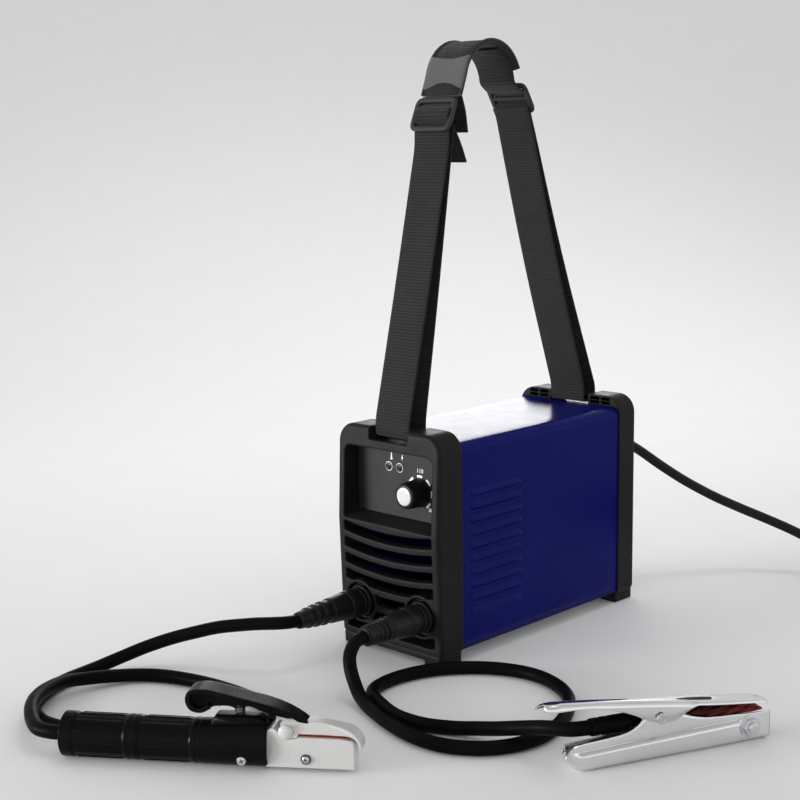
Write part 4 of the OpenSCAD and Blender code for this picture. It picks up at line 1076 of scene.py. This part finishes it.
low_rim = [(-4.5, 14.5), (-4, 17), (-2.8, 19.4), (-1, 20.8), (2, 21.4), (6.4, 21.7), (21.2, 22.3), (32, 23),
           (38, 23.9), (42.9, 25.5), (48.3, 28.6), (52, 32), (57, 35.4), (62, 37.2), (67, 37.9), (72, 37.2),
           (78, 34.4), (84.5, 31), (90, 28.8), (95.9, 27), (104.5, 25), (118.8, 23.7), (133.3, 23), (160, 22)]
low_floor = [(-4.5, 8), (-3.8, 5.9), (-2.2, 3.8), (0, 2), (3.9, 0.35), (8, 0.2), (160, 0.2)]
lower_rows = []
stations = [-4.5 + 7 * (1 - math.cos(math.radians(7.5 * k))) for k in range(12)]
stations += [2.5 + 157.5 * k / 114 for k in range(115)]
for x in stations:
    rim, floor = along(low_rim, x), along(low_floor, x)
    half = 12.0 * max(0.0, 1 - (max(0.0, 2.5 - x) / 7.01) ** 2.4) ** 0.5
    swell = (1 - smoothstep(132, 137, x)) * smoothstep(-5, 3, x)
    crease = min(15 + 0.027 * x, rim - 0.6)
    far_drop = 7.5 * (1 - smoothstep(24, 58, x))
    side = []
    for k in range(6):
        side.append((half - (0.9 + (0.8 if k == 5 else 0)) * swell, rim + (crease - rim) * k / 5))
    for k in range(1, 15):
        h = crease + (floor - crease) * k / 14
        w = half - 0.9 * swell + 2.4 * swell * smoothstep(0, 2.6, crease - h) - 0.9 * swell * smoothstep(9, 1, h)
        low = min(5.0, max(0.0, 5.0 - (h - floor)))
        side.append((w - (5.0 - math.sqrt(25.0 - low * low)) * min(1, half / 12), h))
    side.append((half * .3, floor - .02))
    pts = side + [(-w, h) for w, h in reversed(side)]
    pts = [(w, h - far_drop * smoothstep(floor + 3, rim, h) * smoothstep(-10, 10, w)) for w, h in pts]
    lower_rows.append([clamp(x, w, h) for w, h in pts])
lower = grid("clamp_lower_v", lower_rows, "clamp_steel", sharp=60)
solid = lower.modifiers.new("plate", "SOLIDIFY")
solid.thickness, solid.offset = 1.5 * MM, -1
put(lower, "case", "clamp_lower")

up_top = [(-25, 49.2), (-14, 49.6), (0, 48.2), (20, 46), (50, 42), (92, 36.4), (120, 33), (150, 29.6), (158, 28.2)]
far_rim = [(-25, 45.2), (0, 43.4), (20, 40.6), (36, 37), (44, 34), (54, 28), (62, 24), (70, 23.4), (78, 24.6),
           (86, 28.6), (96, 33.2), (106, 33.4), (124, 30.6), (158, 25.8)]
near_rim = [(-25, 48.4), (0, 47.6), (8.6, 46.8), (22, 44), (30.2, 41.6), (38.4, 38.8), (45.3, 35.8), (52.2, 32),
            (58, 29.6), (63.4, 28), (70.4, 26.6), (76, 26.4), (80, 27.4), (84.3, 29.9), (88, 32.2), (92, 33.8),
            (98, 35.6), (105.5, 36), (158, 30)]
upper_rows = []
for i in range(141):
    x = -25 + 183 * i / 140
    top_z = along(up_top, x)
    half = 10.0 - 0.4 * smoothstep(120, 158, x)
    if x < -17:
        half -= 3.4 * ((-17 - x) / 8) ** 2
    pts = []
    for side, table in ((1, far_rim), (-1, near_rim)):
        top = top_z - (1.9 - 1.1 * smoothstep(50, 120, x)) * side
        rim = min(along(table, x), top - 1.3)
        rise = min(3.2, (top - rim) * 0.9)
        arc = [(side * half, rim)]
        for k in range(9):
            a = math.radians(90 * k / 8)
            arc.append((side * (half - 3.4 + 3.4 * math.cos(a)), top - rise + rise * math.sin(a)))
        pts += arc if side > 0 else list(reversed(arc))
    upper_rows.append([clamp(x, w, h) for w, h in pts])
upper = grid("clamp_upper_v", upper_rows, "clamp_steel", sharp=60)
solid = upper.modifiers.new("plate", "SOLIDIFY")
solid.thickness, solid.offset = 1.5 * MM, 1
put(upper, "clamp_jaw", "clamp_upper")
refine("clamp_bolt", "case", "zinc_steel", 0.7)
rivet = soften([(-13.6, 0), (-13.6, 1.3), (-13.0, 1.7), (-13.0, 2.4), (-13.8, 3), (-13.2, 4), (-12.2, 4.2), (-12.2, 3),
                (12.2, 3), (12.2, 4.2), (13.2, 4), (13.8, 3), (13.0, 2.4), (13.0, 1.7), (13.6, 1.3), (13.6, 0)], 0.3)
cross_c = Vector((-math.sin(turn_c), math.cos(turn_c), 0))
put(lathe("clamp_rivet_v", rivet, clamp(66, 0, 30.8) / MM, cross_c, "zinc_steel", sides=40), "case", "clamp_rivet")
washer = soften([(0, 0), (0, 8.2), (.9, 8.2), (1.1, 7.6), (1.1, 4.2), (4.9, 4.2), (5.2, 3.8), (5.5, 4.2), (5.8, 3.8),
                 (6.1, 4.2), (6.4, 3.8), (6.7, 4.1), (7.2, 3.2), (7.3, 0)], 0.12)
for end in (-1, 1):
    put(lathe("clamp_washer_" + ("a" if end < 0 else "b"), washer, clamp(142, 12 * end, 13) / MM, cross_c * end,
              "zinc_steel", sides=40), "case")
braid_rows = []
for i in range(91):
    x = 92 + 64 * i / 90
    ends = math.sqrt(max(0.0, 1 - ((i - 45) / 45.5) ** 6))
    high, low = along(up_top, x) - 3.0, 20.5 + 5 * smoothstep(108, 92, x)
    row = []
    for j in range(56):
        a = TAU * j / 56
        lump = 0.75 * math.sin(x * 1.7 + 5 * a) * math.sin(x * 1.3 - 4 * a)
        w = (8.2 + lump) * math.copysign(abs(math.cos(a)) ** 0.5, math.cos(a))
        tall = (high - low) / 2 * ends - 0.4 + lump * 0.6
        h = (high + low) / 2 + tall * math.copysign(abs(math.sin(a)) ** 0.7, math.sin(a))
        row.append(clamp(x, w, h))
    braid_rows.append(row)
braid = put(grid("clamp_contacts_v", braid_rows, "copper", wrap=True, caps=True), "case", "clamp_contacts")
braid.data.materials[0] = M["dark_braid"]  # its slot stays copper
spring_line = []
for k in range(141):
    a = TAU * 5.5 * k / 140
    spring_line.append(clamp(66 + 4.6 * math.cos(a), -7 + 14 * k / 140, 30 + 4.6 * math.sin(a)))
put(tube("clamp_spring_v", spring_line, 0.85 * MM, "zinc_steel", sides=10), "case", "clamp_spring")
leg = [clamp(84 + 29 * k / 12, -4, 39.4 - 3.2 * (k / 12) + 0.5 * math.sin(math.pi * k / 12)) for k in range(13)]
put(tube("clamp_spring_leg", leg, 1.1 * MM, "ferrite", sides=12), "clamp_jaw")
boot = soften([(0, 5.6), (0, 6.2), (1.2, 6.5), (6, 6.5), (6.4, 6.1), (8, 6.1), (8.4, 6.5), (13, 6.5), (13.4, 6.1),
               (15, 6.1), (15.4, 6.5), (30, 6.4), (32, 4.6), (40, 4.4), (40, 0)], 0.4)
boot_dir = Vector((math.cos(turn_c), math.sin(turn_c), 0))
put(lathe("clamp_boot_v", boot, clamp(14, 0, 28) / MM, boot_dir, "cable_rubber"), "case", "clamp_boot")

# ---------- the CAD pieces that stay ----------

finish_of = {
    "base_pan": "zinc_steel", "base_screws": "zinc_steel", "potentiometer": "board_green", "pot_shaft": "zinc_steel",
    "socket_contacts": "brass", "output_busbars": "copper", "fan_guard": "zinc_steel", "main_board": "board_green",
    "heatsinks": "aluminium", "power_transistors": "knob_plastic", "transformer_core": "ferrite",
    "transformer_winding": "copper", "capacitors": "capacitor_sleeve", "output_inductor": "copper",
    "plug_pins": "brass", "holder_pin": "zinc_steel", "holder_screws": "zinc_steel"}
for node, slot in finish_of.items():
    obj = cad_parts[node]
    obj.data.materials.clear()
    obj.data.materials.append(M[slot])
    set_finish(obj, slot)

# ---------- floor and light ----------

rows = []
for k in range(61):
    t = k / 60
    if t < 0.4:
        p = (-14 + 15.0 * t / 0.4, 0.0)
    elif t < 0.8:
        a = math.radians(90 * (t - 0.4) / 0.4)
        p = (1.0 + 3.6 * math.sin(a), 3.6 * (1 - math.cos(a)))
    else:
        p = (4.6, 3.6 + 5 * (t - 0.8) / 0.2)
    rows.append(p)
ground_turn = Matrix.Rotation(math.radians(43.83), 3, "Z")
floor_rows = [[ground_turn @ Vector((s, y, z - 0.0002)) for s in (-14, -5, -1, 1, 5, 14)] for y, z in rows]
M["floor"] = material("floor", (0.85, 0.85, 0.85), 0.8, tint=0.005, grain=400, bump=0.02, edge=0, spec=0.05)
floor = grid("floor", floor_rows, "floor", sharp=80)


def light(name, place, target, size, power, spread=180.0):
    data = bpy.data.lights.new(name, "AREA")
    data.shape, data.size, data.size_y = "RECTANGLE", size[0], size[1]
    data.energy, data.spread = power, math.radians(spread)
    obj = bpy.data.objects.new(name, data)
    scene.collection.objects.link(obj)
    obj.location = place
    obj.rotation_euler = (Vector(target) - Vector(place)).to_track_quat("-Z", "Y").to_euler()
    obj.visible_camera = False
    return obj


world = bpy.data.worlds.new("studio")
world.use_nodes = True
sky = world.node_tree
coords = sky.nodes.new("ShaderNodeTexCoord")
height = sky.nodes.new("ShaderNodeSeparateXYZ")
shade = sky.nodes.new("ShaderNodeMapRange")
shade.inputs[1].default_value, shade.inputs[2].default_value = 0.1, 0.85
shade.inputs[3].default_value, shade.inputs[4].default_value = 1.16, 0.48
sky.links.new(coords.outputs["Generated"], height.inputs[0])
sky.links.new(height.outputs[2], shade.inputs[0])
sky.links.new(shade.outputs[0], sky.nodes["Background"].inputs[1])
sky.nodes["Background"].inputs[0].default_value = (1, 1, 1, 1)
scene.world = world
light("key_left", (-1.3, -2.3, 0.3), (0, -0.1, 0.15), (1.3, 0.45), 6, 50)
light("strip_back", (-0.52, 0.55, 0.33), (0, 0, 0.2), (0.8, 0.2), 0.29, 60)
glow_data = bpy.data.lights.new("glow", "SPOT")
glow_data.energy, glow_data.spot_size = 100, math.radians(88)
glow_data.spot_blend, glow_data.shadow_soft_size = 1.0, 0.6
glow = bpy.data.objects.new("glow", glow_data)
scene.collection.objects.link(glow)
glow.location = (-0.1, 0.6, 2.2)
glow.rotation_euler = (Vector((-1.05, 0.85, 0.2)) - glow.location).to_track_quat("-Z", "Y").to_euler()
